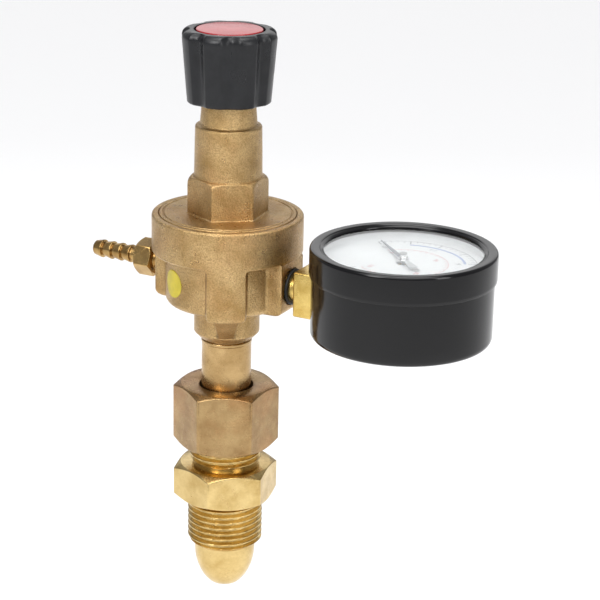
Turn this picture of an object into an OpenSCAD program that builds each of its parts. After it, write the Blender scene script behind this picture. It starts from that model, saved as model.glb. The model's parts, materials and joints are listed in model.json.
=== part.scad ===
// Carbon dioxide cylinder regulator: bullnose adapter, union nut, forged body, sprung bonnet with a
// lobed knob, hose barb and a side-mounted pressure gauge whose dial faces up.
// Millimetres. +Z runs up the main axis, +X points to the gauge, and the origin is on the axis at the
// middle of the thread that screws into the cylinder's valve.

/* [Cylinder adapter] */
// Major diameter of the thread that screws into the cylinder valve (G 5/8)
cylinder_thread_d = 22.91; // [16:0.01:30]
// Pitch of both threads, 14 turns to the inch
thread_pitch = 1.814; // [1:0.001:2.5]
// Depth of both threads
thread_depth = 1.162; // [0.6:0.001:1.6]
// Length of the cylinder thread below the hexagon
cylinder_thread_h = 15.2; // [9:0.1:26]
// Length of the bull nose below the thread
nose_h = 14.4; // [10:0.1:24]
// Diameter of the flat at the tip of the nose
nose_tip_d = 7.3; // [5:0.1:10]
// Diameter of the gas way through the adapter
adapter_bore_d = 4; // [2:0.1:6]
// Adapter hexagon across flats
adapter_hex_af = 28; // [24:0.1:36]
// Height of the adapter hexagon
adapter_hex_h = 11; // [7:0.1:16]
// Turn of the adapter hexagon about the main axis
adapter_hex_turn = 10; // [-30:0.1:30]
// Length of the upper thread above the hexagon
union_thread_h = 16.5; // [12:0.1:22]

/* [Union nut] */
// Major diameter of the union thread (W 21.8)
union_thread_d = 21.8; // [21:0.01:26]
// Union nut across flats
nut_af = 28; // [26:0.1:36]
// Turn of the union nut about the main axis
nut_turn = -3.2; // [-30:0.1:30]
// Thread left showing between the adapter hexagon and the nut
nut_gap = 6.5; // [4:0.1:8]
// Thickness of the nut's top web
nut_web = 3.5; // [2:0.1:6]
// Radial clearance between the stem and the hole in the nut's top web
nut_hole_fit = 0.65; // [0.4:0.05:1]
// Thickness of the sealing washer between adapter and stem
union_washer_t = 2; // [1:0.1:3]
// Thickness of the slip ring under the nut's web
slip_ring_t = 0.8; // [0.5:0.1:1.5]

/* [Inlet stem] */
// Diameter of the stem
stem_d = 15; // [12:0.1:17]
// Radial clearance between the stem's collar and the nut's thread
collar_fit = 1.3; // [0.6:0.05:1.8]
// Thickness of that collar
stem_collar_t = 3; // [2:0.1:5]
// Stem showing between the tightened nut and the body
stem_clear_h = 15; // [10:0.1:24]
// Diameter of the gas way through the stem
stem_bore_d = 6; // [3:0.1:8]
// Height of the shoulder between the stem and its threaded end
spigot_step = 1; // [0.6:0.1:1.5]
// Length of the threaded end
stem_spigot_h = 9; // [6:0.1:9.5]

/* [Body] */
// How far the boss that takes the stem stands out round it
inlet_boss_w = 2.35; // [2:0.05:4]
// Height of that boss below the body
inlet_boss_h = 11.3; // [8:0.1:16]
// Diameter of the lower body
body_d = 36.7; // [34:0.1:40]
// Height of the lower body
body_h = 15.9; // [15:0.1:24]
// Diameter of the clamping ring at the top of the body
ring_d = 45; // [44:0.1:56]
// Height of the clamping ring
ring_h = 11.4; // [11:0.1:16]
// Width of the rim round the recess that takes the bonnet's flange
rim_w = 2; // [1.5:0.1:3]
// Depth of that recess
recess_h = 7.1; // [6:0.1:7.3]
// Width of the seat that the diaphragm's edge is clamped on
clamp_w = 5.5; // [4:0.1:7]
// Depth of that chamber
chamber_h = 5; // [4.8:0.1:5.6]
// Width of the two port bosses
port_boss_w = 14; // [13.6:0.1:16]
// Distance from the main axis to the face of the gauge's boss
port_face_x = 21.8; // [20:0.1:24]
// Distance from the main axis to the face of the outlet's boss
outlet_face_x = 21; // [19.8:0.1:23]
// Diameter of the gauge's threaded port (G 1/8)
port_d = 9.8; // [8:0.1:11.8]
// Diameter of the outlet's threaded port (M8)
outlet_d = 8; // [6:0.1:9.6]
// Height of the outlet's port above the gauge's port
outlet_rise = 1.2; // [0:0.1:1.5]
// Width of the blank pads
pad_w = 11.7; // [8:0.1:13]
// Direction of the front pad; the rear pad is opposite
pad_angle = -62; // [-70:1:-50]
// Diameter of the marking dot on the body
dot_d = 8.4; // [5:0.1:10]

/* [Valve] */
// Diameter of the valve seat's thread
seat_d = 12; // [11:0.1:13]
// Diameter of the orifice in the seat
orifice_d = 3; // [2:0.1:3.4]
// Diameter of the pin that opens the valve
valve_pin_d = 1.8; // [1:0.1:2]
// Diameter of the chamber that the poppet slides in
poppet_chamber_d = 10; // [9:0.1:11]
// Thickness of the diaphragm
diaphragm_t = 0.8; // [0.5:0.1:1.2]

/* [Bonnet] */
// Radial clearance round the bonnet's flange
flange_fit = 0.15; // [0.1:0.05:0.3]
// Bonnet hexagon across flats
bonnet_hex_af = 21; // [20.4:0.1:26]
// Height of the bonnet hexagon and its shoulder
bonnet_hex_h = 11.2; // [9:0.1:16]
// Turn of the bonnet hexagon about the main axis
bonnet_hex_turn = 5.9; // [-30:0.1:30]
// Diameter of the barrel at its foot
barrel_d = 20.14; // [19.8:0.02:20.3]
// Height of the barrel up to its shoulder
barrel_h = 15.2; // [12:0.1:20]
// Diameter at the foot of the neck
neck_d = 16.6; // [15:0.1:16.8]
// Height of the neck
neck_h = 11.7; // [9:0.1:12.5]
// Diameter of the spring's space in the bonnet
spring_space_d = 16.4; // [15.8:0.1:17]

/* [Adjuster] */
// Diameter of the adjusting spindle (M8)
spindle_d = 8; // [7:0.1:10]
// Pitch of the adjusting spindle
spindle_pitch = 1.25; // [0.75:0.05:1.5]
// Full turns that the knob can be screwed in
knob_turns_in = 3; // [1:1:3]
// Diameter of the adjusting spring's wire
spring_wire_d = 2; // [1.2:0.1:2.4]
// Turns of the adjusting spring
spring_turns = 6.5; // [4:0.5:8]

/* [Knob] */
// Widest diameter of the knob
knob_d = 28.2; // [26:0.1:34]
// Diameter of the knob at its foot
knob_foot_d = 25; // [24:0.1:30]
// Height of the knob
knob_h = 21.1; // [20:0.1:28]
// Gap between the bonnet's shoulder and the knob at rest
knob_gap = 7.1; // [5:0.1:9]
// Number of grip grooves
knob_grooves = 8; // [5:1:12]
// Depth of the grip grooves
knob_groove_depth = 1; // [0.5:0.1:1.5]
// Direction of the first groove
knob_groove_turn = -15; // [-45:1:45]
// Diameter of the cap on the knob
cap_d = 19.4; // [15:0.1:20]

/* [Hose barb] */
// Distance from the main axis to the barb's tip
barb_tip_x = 46.3; // [40:0.1:60]
// Diameter over the barbs
barb_d = 5.5; // [4:0.1:8]
// Number of barbs
barb_count = 4; // [2:1:5]
// Length of each barb
barb_pitch = 3.35; // [2.5:0.05:4]
// Diameter of the gas way through the barb
barb_bore_d = 2.4; // [1:0.1:2.6]
// Barb hexagon across flats
barb_hex_af = 10; // [9.5:0.1:13]
// Length of the barb hexagon
barb_hex_l = 6; // [4:0.1:7]
// Turn of the barb's hexagon about its own axis
barb_hex_turn = -11.5; // [-30:0.1:30]
// Length of the round neck between the seal ring and the barb's hexagon
barb_neck_l = 2; // [1:0.1:3]

/* [Gauge] */
// Outside diameter of the case
case_d = 52.4; // [48:0.1:64]
// Height of the case and bezel together
gauge_h = 26.8; // [26:0.1:32]
// Thickness of the case's wall
case_wall = 1.2; // [0.8:0.1:1.6]
// How far the bezel stands out round the case
bezel_overhang = 0.7; // [0.6:0.1:2]
// Height of the bezel
bezel_h = 8.6; // [7:0.1:10]
// Width of the bezel's face round the window
bezel_face_w = 4.35; // [4:0.05:6]
// Thickness of the window
window_t = 1.6; // [1:0.1:2]
// Thickness of the dial
dial_t = 0.6; // [0.4:0.1:0.8]
// Side of the square wrench block
block_w = 13.6; // [12:0.1:15]
// Length of the round neck between the seal ring and the wrench block
gauge_neck_l = 2.6; // [1.5:0.1:4]
// Length of the wrench block that shows beside the case
block_l = 5.5; // [5:0.1:10]
// Sweep of the pointer over the full scale
pointer_sweep = 270; // [180:1:280]

/* [Gauge movement] */
// Gear module of the pinion and sector
gear_module = 0.25; // [0.2:0.01:0.28]
// Teeth of the pinion on the pointer's shaft
pinion_teeth = 12; // [10:1:14]
// Teeth that a full circle of the sector's pitch would have
sector_full_teeth = 84; // [78:1:88]
// Distance from the case's wall to the middle of the Bourdon tube
tube_gap = 5.5; // [4.6:0.1:6]
// How far the Bourdon tube's root is set into the socket's foot
tube_set = 0.625; // [0.4:0.025:2]
// Length of the sector's tail, from its pivot to the link
tail_l = 4.6; // [4:0.1:5.5]

/* [Fits] */
// Radial clearance between a shaft and its hole
running_fit = 0.05; // [0.02:0.01:0.1]
// Radial clearance of threads drawn as plain cylinders
thread_fit = 0.06; // [0.02:0.01:0.1]
// Free space between loose parts
loose_fit = 0.3; // [0.3:0.05:0.5]

/* [Hidden] */
$fn = 96;
eps = 0.01;

// Threads, as rings of ridges that stop a short run-out away from each shoulder
cylinder_thread_r = cylinder_thread_d / 2;
union_thread_r = union_thread_d / 2;
thread_crest = thread_pitch / 8;
thread_runout = 0.6;
cylinder_turns = floor((cylinder_thread_h - 1.5) / thread_pitch);
union_turns = floor((union_thread_h - 2.4) / thread_pitch);

// Sizes that follow from what they fit
nut_hole_d = stem_d + 2 * nut_hole_fit;
stem_collar_d = union_thread_d - 2 * collar_fit;
stem_spigot_d = stem_d - 2 * spigot_step;
inlet_boss_d = stem_d + 2 * inlet_boss_w;
recess_d = ring_d - 2 * rim_w;
chamber_d = recess_d - 2 * clamp_w;
flange_d = recess_d - 2 * flange_fit;

// Levels up the main axis, from the middle of the cylinder thread
hex_z = thread_runout + cylinder_turns * thread_pitch / 2;
hex_top_z = hex_z + adapter_hex_h;
union_top_z = hex_top_z + union_thread_h;
collar_z = union_top_z + union_washer_t;
slip_z = collar_z + stem_collar_t;
web_z = slip_z + slip_ring_t;
nut_bottom_z = hex_top_z + nut_gap;
nut_top_z = web_z + nut_web;
boss_z = nut_top_z + stem_clear_h;
body_z = boss_z + inlet_boss_h;
ring_z = body_z + body_h;
ring_top_z = ring_z + ring_h;
clamp_z = ring_top_z - recess_h;
chamber_z = clamp_z - chamber_h;
port_z = (body_z + ring_z) / 2;

// Valve
valve_top_z = chamber_z;
seat_top_z = valve_top_z + 1.6;
seat_bottom_z = valve_top_z - 6.9;
nib_h = 0.4;
seal_top_z = seat_bottom_z - nib_h;
poppet_h = 5;
poppet_bottom_z = seal_top_z - poppet_h;
seal_t = 1.2;
seal_d = 5.2;
spigot_top_z = boss_z + stem_spigot_h;
poppet_spring_wire = 0.7;
stud_disc_z = clamp_z - 1.5;
stud_disc_d = chamber_d - 12;
stud_d = 5.8;
plate_z = clamp_z + diaphragm_t;
plate_t = 2;
plate_d = chamber_d - 6;
plate_boss_h = 1.6;
spring_foot_z = plate_z + plate_t;

// Bonnet and adjuster
washer_t = 0.4;
bonnet_z = clamp_z + diaphragm_t + washer_t;
flange_top_z = ring_top_z + 0.2;
bonnet_hex_top_z = flange_top_z + bonnet_hex_h;
barrel_top_z = bonnet_hex_top_z + barrel_h;
neck_top_z = barrel_top_z + neck_h;
spring_space_top_z = barrel_top_z - 1.8;
button_t = 2.5;
button_d = spring_space_d - 2 * loose_fit;
knob_rise = spindle_pitch;
button_top_z = spring_space_top_z - knob_rise - 0.3;
button_z = button_top_z - button_t;
dimple_h = 1.2;
spring_h = button_z - spring_foot_z;
spring_mean_d = 12.4;
knob_z = barrel_top_z + knob_gap;
knob_top_z = knob_z + knob_h;
knob_drop = knob_turns_in * spindle_pitch;
knob_space_d = neck_d + 1.8;
knob_space_top_z = neck_top_z + knob_drop + 0.6;
knob_widest_z = knob_top_z - 2;
cap_recess_h = 2.4;
cap_recess_z = knob_top_z - cap_recess_h;
cap_rise = 0.4;
drive_d = spindle_d - 1.6;
drive_flat = drive_d / 2 - 0.8;
hub_top_z = cap_recess_z - 3;
spindle_top_z = hub_top_z - 0.6;
knob_washer_t = 0.6;
screw_d = drive_d - 2.4;
screw_h = 7;

// Ports, barb and gauge neck
outlet_z = port_z + outlet_rise;
port_seal_t = 1;
port_seal_w = 1.2;
neck_step = 0.7;
port_end_x = 11.5;
shank_end_x = 14.5;
barb_hex_x = outlet_face_x + port_seal_t + barb_neck_l + barb_hex_l;
barb_root_d = barb_d - 1.3;
block_x = port_face_x + port_seal_t + gauge_neck_l;
passage_x = 13;
passage_d = 2.5;

// Gauge levels
gauge_z = body_z - 1.3;
gauge_top_z = gauge_z + gauge_h;
bezel_d = case_d + 2 * bezel_overhang;
window_d = bezel_d - 2 * bezel_face_w;
bezel_z = gauge_top_z - bezel_h;
case_r = case_d / 2;
gauge_x = block_x + block_l + case_r;
case_in_r = case_r - case_wall;
window_top_z = gauge_top_z - 1.1;
window_z = window_top_z - window_t;
gasket_t = 0.8;
gasket_z = window_z - gasket_t;
case_top_z = gasket_z;
bezel_lip_d = window_d + 0.4;
dial_z = window_z - 3.6;
dial_top_z = dial_z + dial_t;
case_fillet = 2;

// Gauge movement, seen from the dial's side with the gauge's centre at zero
tube_r = case_in_r - tube_gap;
tube_h = 6;
tube_t = 2;
tube_z = port_z - 4.4;
tube_tip_angle = -90;
foot_w = 12;
tube_sweep = 270 - asin((foot_w / 2 - tube_set) / tube_r);
pinion_r = gear_module * pinion_teeth / 2;
sector_r = gear_module * sector_full_teeth / 2;
pivot_r = pinion_r + sector_r;
pivot_angle = -144;
sector_turn = pointer_sweep * pinion_teeth / sector_full_teeth;
tail_angle = -95 - sector_turn / 2;
pivot_x = pivot_r * cos(pivot_angle);
pivot_y = pivot_r * sin(pivot_angle);
tail_x = pivot_x + tail_l * cos(tail_angle);
tail_y = pivot_y + tail_l * sin(tail_angle);
tip_pin_r = tube_r - 3.7;
tip_pin_x = 0;
tip_pin_y = -tip_pin_r;
arbor_d = 1;
pointer_zero = 135;
foot_top_z = tube_z + tube_h + 0.35;
base_t = 0.8;
base_z = foot_top_z;
sector_z = base_z + 2.6;
sector_t = 0.9;
link_z = sector_z + sector_t + 0.3;
link_t = 0.5;
top_z = link_z + link_t + 1.6;
top_t = 0.8;
pin_d = 0.8;
open_pivot_fit = 0.3;
pillar_d = 2.4;
pointer_z = dial_top_z + 1;
pointer_t = 0.3;
backlash = 0.08;
case_screw_x = -14;
base_screw_x = -12.5;
foot_screw_y = 3;

// Pillar places about the gauge's centre; the first two also carry the dial
pillars = [[6, -5], [-3.5, 7.5], [-14.5, 0]];

// Colours
brass = "goldenrod";
light_brass = "khaki";
dark_brass = "darkgoldenrod";
steel = "silver";

// Chamfered hexagonal prism, standing on z = 0
module hex_prism(af, h, bottom_chamfer, top_chamfer, turn) {
  corner_r = af / 2 / cos(30);
  flat_r = af / 2;
  rise = (corner_r - flat_r + 0.25) * tan(30);
  bottom_rise = bottom_chamfer ? rise : 0;
  top_rise = top_chamfer ? rise : 0;
  rotate([0, 0, turn + 15])
    intersection() {
      rotate([0, 0, 15])
        cylinder(h = h, r = corner_r, $fn = 6);
      rotate_extrude()
        polygon([
          [0, 0],
          [bottom_chamfer ? flat_r - 0.25 : corner_r + 1, 0],
          [corner_r + (bottom_chamfer ? 0.02 : 1), bottom_rise],
          [corner_r + (top_chamfer ? 0.02 : 1), h - top_rise],
          [top_chamfer ? flat_r - 0.25 : corner_r + 1, h],
          [0, h]
        ]);
    }
}

// Outline points of thread ridges with flat crests, from z0 up to z1
function ridge_points(r, z0, turns) = [
  for (i = [0 : turns - 1])
    each [
      [r - thread_depth, z0 + i * thread_pitch],
      [r, z0 + i * thread_pitch + thread_pitch / 2 - thread_crest],
      [r, z0 + i * thread_pitch + thread_pitch / 2 + thread_crest],
      [r - thread_depth, z0 + (i + 1) * thread_pitch]
    ]
];

// Ring with a square section
module washer(d, hole_d, t) {
  difference() {
    cylinder(h = t, d = d);
    translate([0, 0, -eps])
      cylinder(h = t + 2 * eps, d = hole_d);
  }
}

// Helical coil with closed, flat-lying ends
module coil(mean_d, wire_d, h, turns, steps, sides) {
  dead = 0.75;
  count = round(turns * steps);
  rise = h - wire_d;
  function level(t) = wire_d / 2 + rise * min(1, max(0, (t - dead) / (turns - 2 * dead)));
  points = [
    for (i = [0 : count])
      for (j = [0 : sides - 1])
        let (t = i / steps, a = 360 * t, b = 360 * j / sides)
          [
            (mean_d / 2 + wire_d / 2 * cos(b)) * cos(a),
            (mean_d / 2 + wire_d / 2 * cos(b)) * sin(a),
            level(t) + wire_d / 2 * sin(b) * 0.98
          ]
  ];
  walls = [
    for (i = [0 : count - 1])
      for (j = [0 : sides - 1])
        let (k = (j + 1) % sides)
          [i * sides + j, i * sides + k, (i + 1) * sides + k, (i + 1) * sides + j]
  ];
  first = [for (j = [0 : sides - 1]) sides - 1 - j];
  last = [for (j = [0 : sides - 1]) count * sides + j];
  polyhedron(points = points, faces = concat([last], [first], [for (w = walls) [w[3], w[2], w[1], w[0]]]));
}

// Things drawn about the gauge's centre
module at_gauge(z) {
  translate([gauge_x, 0, z])
    children();
}

// Cylinder lying along X from x0 to x1, at the height of the gauge's port unless told otherwise
module port_rod(x0, x1, d0, d1, z = port_z) {
  translate([x0, 0, z])
    rotate([0, 90, 0])
      cylinder(h = x1 - x0, d1 = d0, d2 = d1);
}

// Points along an arc, for rounded outlines
function arc(cx, cz, r, a0, a1, n = 6) = [
  for (i = [0 : n])
    let (a = a0 + (a1 - a0) * i / n)
      [cx + r * cos(a), cz + r * sin(a)]
];

// Adapter: nose, cylinder thread, hexagon and union thread on one turned piece
module bullnose_adapter() {
  root_r = cylinder_thread_r - thread_depth;
  thread_z = -cylinder_turns * thread_pitch / 2;
  union_root_r = union_thread_r - thread_depth;
  union_z = union_top_z - thread_runout - union_turns * thread_pitch;
  shoulder_r = root_r - 0.9;
  nose_top_z = hex_z - cylinder_thread_h;
  nose_tip_z = nose_top_z - nose_h;
  nose_bulge = 2.5;
  nose_round = 0.75;
  color(light_brass)
    difference() {
      union() {
        rotate_extrude()
          polygon(concat(
            [[0, nose_tip_z]],
            [
              for (i = [0 : 14])
                let (t = i / 14, swell = pow(1 - pow(1 - t, nose_bulge), nose_round))
                  [nose_tip_d / 2 + (shoulder_r - nose_tip_d / 2) * swell, nose_tip_z + nose_h * t]
            ],
            [[root_r, nose_top_z + 0.3]],
            ridge_points(cylinder_thread_r, thread_z, cylinder_turns),
            [[root_r, hex_z + 0.5], [0, hex_z + 0.5]]
          ));
        translate([0, 0, hex_z])
          hex_prism(adapter_hex_af, adapter_hex_h, true, true, adapter_hex_turn);
        rotate_extrude()
          polygon(concat(
            [[0, hex_top_z - 0.5], [union_root_r - 0.2, hex_top_z - 0.5]],
            [[union_root_r - 0.2, hex_top_z + 1]],
            ridge_points(union_thread_r, union_z, union_turns),
            [[union_root_r - 0.5, union_top_z], [0, union_top_z]]
          ));
      }
      translate([0, 0, nose_tip_z - 1])
        cylinder(h = union_top_z - nose_tip_z + 2, d = adapter_bore_d);
    }
}

module union_washer() {
  color("white")
    translate([0, 0, union_top_z])
      washer(union_thread_d - 2 * thread_depth - 1.4, adapter_bore_d + 3, union_washer_t);
}

// Thrust ring between the stem's collar and the nut's web; it rises and falls with the nut
module slip_ring() {
  color(steel)
    translate([0, 0, slip_z])
      washer(stem_collar_d, stem_d + 2 * running_fit + 0.4, slip_ring_t);
}

// Union nut; its thread is a plain bore just clear of the adapter's crests
module union_nut() {
  bore_d = union_thread_d + 2 * thread_fit;
  color(dark_brass)
    difference() {
      translate([0, 0, nut_bottom_z])
        hex_prism(nut_af, nut_top_z - nut_bottom_z, true, true, nut_turn);
      translate([0, 0, nut_bottom_z - 1])
        cylinder(h = web_z - nut_bottom_z + 1, d = bore_d);
      translate([0, 0, nut_bottom_z - eps])
        cylinder(h = 0.8, d1 = bore_d + 1.6, d2 = bore_d);
      translate([0, 0, web_z - 1])
        cylinder(h = nut_web + 2, d = nut_hole_d);
      translate([0, 0, nut_top_z - 0.5])
        cylinder(h = 0.5 + eps, d1 = nut_hole_d, d2 = nut_hole_d + 1);
    }
}

module inlet_stem() {
  stem_r = stem_d / 2;
  bead_h = 1;
  groove_h = 0.5;
  bead_z = boss_z - groove_h - bead_h;
  filter_h = 3;
  color("peru")
    difference() {
      rotate_extrude()
        polygon([
          [0, collar_z],
          [stem_collar_d / 2 - 0.4, collar_z],
          [stem_collar_d / 2, collar_z + 0.4],
          [stem_collar_d / 2, slip_z],
          [stem_r, slip_z],
          [stem_r, bead_z],
          [stem_r + 0.15, bead_z + 0.3],
          [stem_r + 0.15, bead_z + bead_h - 0.3],
          [stem_r, bead_z + bead_h],
          [stem_r - 0.4, bead_z + bead_h],
          [stem_r - 0.4, boss_z],
          [stem_spigot_d / 2, boss_z],
          [stem_spigot_d / 2, spigot_top_z - 0.6],
          [stem_spigot_d / 2 - 0.6, spigot_top_z],
          [0, spigot_top_z]
        ]);
      translate([0, 0, collar_z - 1])
        cylinder(h = spigot_top_z - collar_z + 2, d = stem_bore_d);
      translate([0, 0, collar_z - eps])
        cylinder(h = filter_h + eps, d = stem_bore_d + 3);
    }
}

// Sintered disc that keeps grit out of the valve
module inlet_filter() {
  color("chocolate")
    translate([0, 0, collar_z + 0.3])
      cylinder(h = 2.7, d = stem_bore_d + 3 - 0.1);
}

// Outline of a port boss or pad, from the axis out to its face, with rounded corners
module boss_outline(reach, w, corner_r) {
  translate([0, -w / 2])
    square([reach - corner_r, w]);
  translate([0, -w / 2 + corner_r])
    square([reach, w - 2 * corner_r]);
  for (side = [-1, 1])
    translate([reach - corner_r, side * (w / 2 - corner_r)])
      circle(r = corner_r);
}

module body_blank() {
  inlet_r = inlet_boss_d / 2;
  body_r = body_d / 2;
  ring_r = ring_d / 2;
  lower_fillet = 2;
  rim_fillet = 1;
  rotate_extrude()
    polygon(concat(
      [[0, boss_z], [inlet_r - 1.9, boss_z], [inlet_r, boss_z + 2], [inlet_r, body_z]],
      arc(body_r - lower_fillet, body_z + lower_fillet, lower_fillet, -90, 0),
      [[body_r, ring_z], [ring_r - 0.4, ring_z], [ring_r, ring_z + 0.4]],
      arc(ring_r - rim_fillet, ring_top_z - rim_fillet, rim_fillet, 0, 90),
      [[0, ring_top_z]]
    ));
  translate([0, 0, body_z])
    linear_extrude(body_h + 1) {
      boss_outline(port_face_x, port_boss_w, 1);
      mirror([1, 0])
        boss_outline(outlet_face_x, port_boss_w, 1);
    }
  for (side = [0, 180])
    rotate([0, 0, side + pad_angle])
      intersection() {
        translate([0, 0, body_z])
          linear_extrude(body_h + 1)
            boss_outline(ring_r + 2, pad_w, 1);
        cylinder(h = ring_top_z - 1.5, r = ring_r);
      }
}

// Threaded port with a countersunk mouth and a passage up into the diaphragm chamber
module port(face_x, d, z) {
  mouth = neck_step;
  port_rod(port_end_x, face_x + 1, d, d, z);
  port_rod(face_x - mouth, face_x + eps, d, d + 2 * mouth, z);
  translate([passage_x, 0, z])
    cylinder(h = chamber_z - z + 1, d = passage_d);
}

module regulator_body() {
  color("peru")
    difference() {
      body_blank();
      translate([0, 0, clamp_z])
        cylinder(h = recess_h + 1, d = recess_d);
      translate([0, 0, chamber_z])
        cylinder(h = chamber_h + 1, d = chamber_d);
      translate([0, 0, seat_bottom_z])
        cylinder(h = chamber_z - seat_bottom_z + 1, d = seat_d + 2 * thread_fit);
      translate([0, 0, boss_z])
        cylinder(h = seat_bottom_z - boss_z + 1, d = poppet_chamber_d);
      translate([0, 0, boss_z - 1])
        cylinder(h = stem_spigot_h + 1, d = stem_spigot_d + 2 * thread_fit);
      port(port_face_x, port_d, port_z);
      mirror([1, 0, 0])
        port(outlet_face_x, outlet_d, outlet_z);
    }
}

// Round marking dot, wrapped on the lower body midway between the outlet boss and the front pad
module marking_dot() {
  dot_angle = (pad_angle - 180) / 2;
  dot_t = 0.2;
  color("gold")
    intersection() {
      translate([0, 0, body_z])
        washer(body_d + 2 * dot_t, body_d, body_h);
      rotate([0, 0, dot_angle])
        translate([0, 0, port_z])
          rotate([0, 90, 0])
            cylinder(h = body_d, d = dot_d);
    }
}

// Screwed-in seat: its hexagon stands in the diaphragm chamber, its nib meets the poppet's seal
module valve_seat() {
  groove_z = seat_bottom_z + 1.4;
  seal_groove_d = seat_d - 2.4;
  head_h = seat_top_z - valve_top_z;
  color(brass)
    difference() {
      union() {
        translate([0, 0, seat_bottom_z])
          cylinder(h = valve_top_z - seat_bottom_z, d = seat_d);
        translate([0, 0, seat_bottom_z - nib_h])
          cylinder(h = nib_h + eps, d1 = orifice_d + 0.8, d2 = orifice_d + 1.6);
        translate([0, 0, valve_top_z])
          hex_prism(seat_d + 1, head_h, false, true, 0);
      }
      translate([0, 0, seat_bottom_z - 1])
        cylinder(h = seat_top_z - seat_bottom_z + 2, d = orifice_d);
      translate([0, 0, groove_z])
        washer(seat_d + 1, seal_groove_d, 1.3);
    }
}

module seat_o_ring() {
  cord_d = 1.2;
  color("dimgray")
    translate([0, 0, seat_bottom_z + 1.4 + 0.65])
      rotate_extrude()
        translate([seat_d / 2 - cord_d / 2, 0])
          circle(d = cord_d, $fn = 32);
}

// Poppet with three flats that let the gas past
module poppet() {
  guide_d = poppet_chamber_d - 2 * loose_fit;
  color(brass)
    difference() {
      translate([0, 0, poppet_bottom_z])
        cylinder(h = poppet_h, d = guide_d);
      for (side = [0 : 2])
        rotate([0, 0, side * 120])
          translate([guide_d * 0.4, -guide_d, poppet_bottom_z - 1])
            cube([guide_d, 2 * guide_d, poppet_h + 2]);
      translate([0, 0, seal_top_z - seal_t])
        cylinder(h = seal_t + 1, d = seal_d);
      translate([0, 0, seal_top_z - seal_t - 1.8])
        cylinder(h = 2, d = valve_pin_d + 0.1);
    }
}

module poppet_seal() {
  color("white")
    translate([0, 0, seal_top_z - seal_t])
      washer(seal_d - 0.05, valve_pin_d + 0.1, seal_t);
}

module poppet_spring() {
  color(steel)
    translate([0, 0, spigot_top_z])
      coil(7.2, poppet_spring_wire, poppet_bottom_z - spigot_top_z, 4, 16, 6);
}

module valve_pin() {
  foot_z = seal_top_z - seal_t - 1.8;
  color(steel)
    translate([0, 0, foot_z])
      cylinder(h = stud_disc_z - foot_z, d = valve_pin_d);
}

module diaphragm() {
  color("dimgray")
    translate([0, 0, clamp_z])
      washer(recess_d - 0.6, stud_d + 0.1, diaphragm_t);
}

// Disc under the diaphragm with the stud that goes up through it
module diaphragm_stud() {
  color(brass)
    union() {
      translate([0, 0, stud_disc_z])
        cylinder(h = clamp_z - stud_disc_z, d = stud_disc_d);
      translate([0, 0, stud_disc_z])
        cylinder(h = spring_foot_z + plate_boss_h + 0.6 - stud_disc_z, d = stud_d);
    }
}

module spring_plate() {
  color(steel)
    translate([0, 0, plate_z])
      difference() {
        union() {
          cylinder(h = plate_t, d = plate_d);
          cylinder(h = plate_t + plate_boss_h, d = spring_mean_d - spring_wire_d - 0.8);
        }
        translate([0, 0, -1])
          cylinder(h = plate_t + plate_boss_h + 2, d = stud_d + 0.1);
      }
}

module slip_washer() {
  color(steel)
    translate([0, 0, plate_z])
      washer(recess_d - 0.6, chamber_d + 1, washer_t);
}

module bonnet() {
  flange_r = flange_d / 2;
  barrel_r = barrel_d / 2;
  barrel_top_r = barrel_r - 0.24;
  hex_corner_r = bonnet_hex_af / 2 / cos(30);
  shoulder_fillet = 1.4;
  hex_fillet = hex_corner_r - barrel_r;
  plate_space_h = 4.4;
  vent_d = 2;
  color("peru")
    difference() {
      union() {
        rotate_extrude()
          polygon([
            [0, bonnet_z],
            [flange_r, bonnet_z],
            [flange_r, flange_top_z - 0.4],
            [flange_r - 0.4, flange_top_z],
            [flange_r - 1, flange_top_z],
            [flange_r - 1.3, flange_top_z - 0.3],
            [flange_r - 1.6, flange_top_z],
            [0, flange_top_z]
          ]);
        intersection() {
          rotate([0, 0, bonnet_hex_turn + 30])
            translate([0, 0, flange_top_z - 1])
              cylinder(h = bonnet_hex_h + 1, r = hex_corner_r, $fn = 6);
          rotate_extrude()
            polygon(concat(
              [[0, flange_top_z - 1], [hex_corner_r + 1, flange_top_z - 1]],
              [[hex_corner_r + 1, bonnet_hex_top_z - hex_fillet - 0.6]],
              [[hex_corner_r, bonnet_hex_top_z - hex_fillet - 0.6]],
              arc(barrel_r, bonnet_hex_top_z - hex_fillet, hex_fillet, 10, 90),
              [[0, bonnet_hex_top_z]]
            ));
        }
        rotate_extrude()
          polygon(concat(
            [[0, bonnet_hex_top_z - 1], [barrel_r, bonnet_hex_top_z - 1]],
            arc(barrel_top_r - shoulder_fillet, barrel_top_z - shoulder_fillet, shoulder_fillet, 0, 80),
            [[neck_d / 2, barrel_top_z], [neck_d / 2 - 0.7, neck_top_z - 0.6]],
            [[neck_d / 2 - 1.3, neck_top_z], [0, neck_top_z]]
          ));
      }
      translate([0, 0, bonnet_z - 1])
        cylinder(h = plate_space_h + 1, d = plate_d + 1.5);
      translate([0, 0, bonnet_z])
        cylinder(h = spring_space_top_z - bonnet_z, d = spring_space_d);
      translate([0, 0, spring_space_top_z - 1])
        cylinder(h = neck_top_z - spring_space_top_z + 2, d = spindle_d + 2 * thread_fit);
      rotate([0, 0, 90 + pad_angle + 90])
        translate([0, 0, bonnet_hex_top_z + 4])
          rotate([0, 90, 0])
            cylinder(h = barrel_d, d = vent_d);
    }
}

module adjusting_spring() {
  color(steel)
    translate([0, 0, spring_foot_z])
      coil(spring_mean_d, spring_wire_d, spring_h, spring_turns, 20, 8);
}

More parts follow.
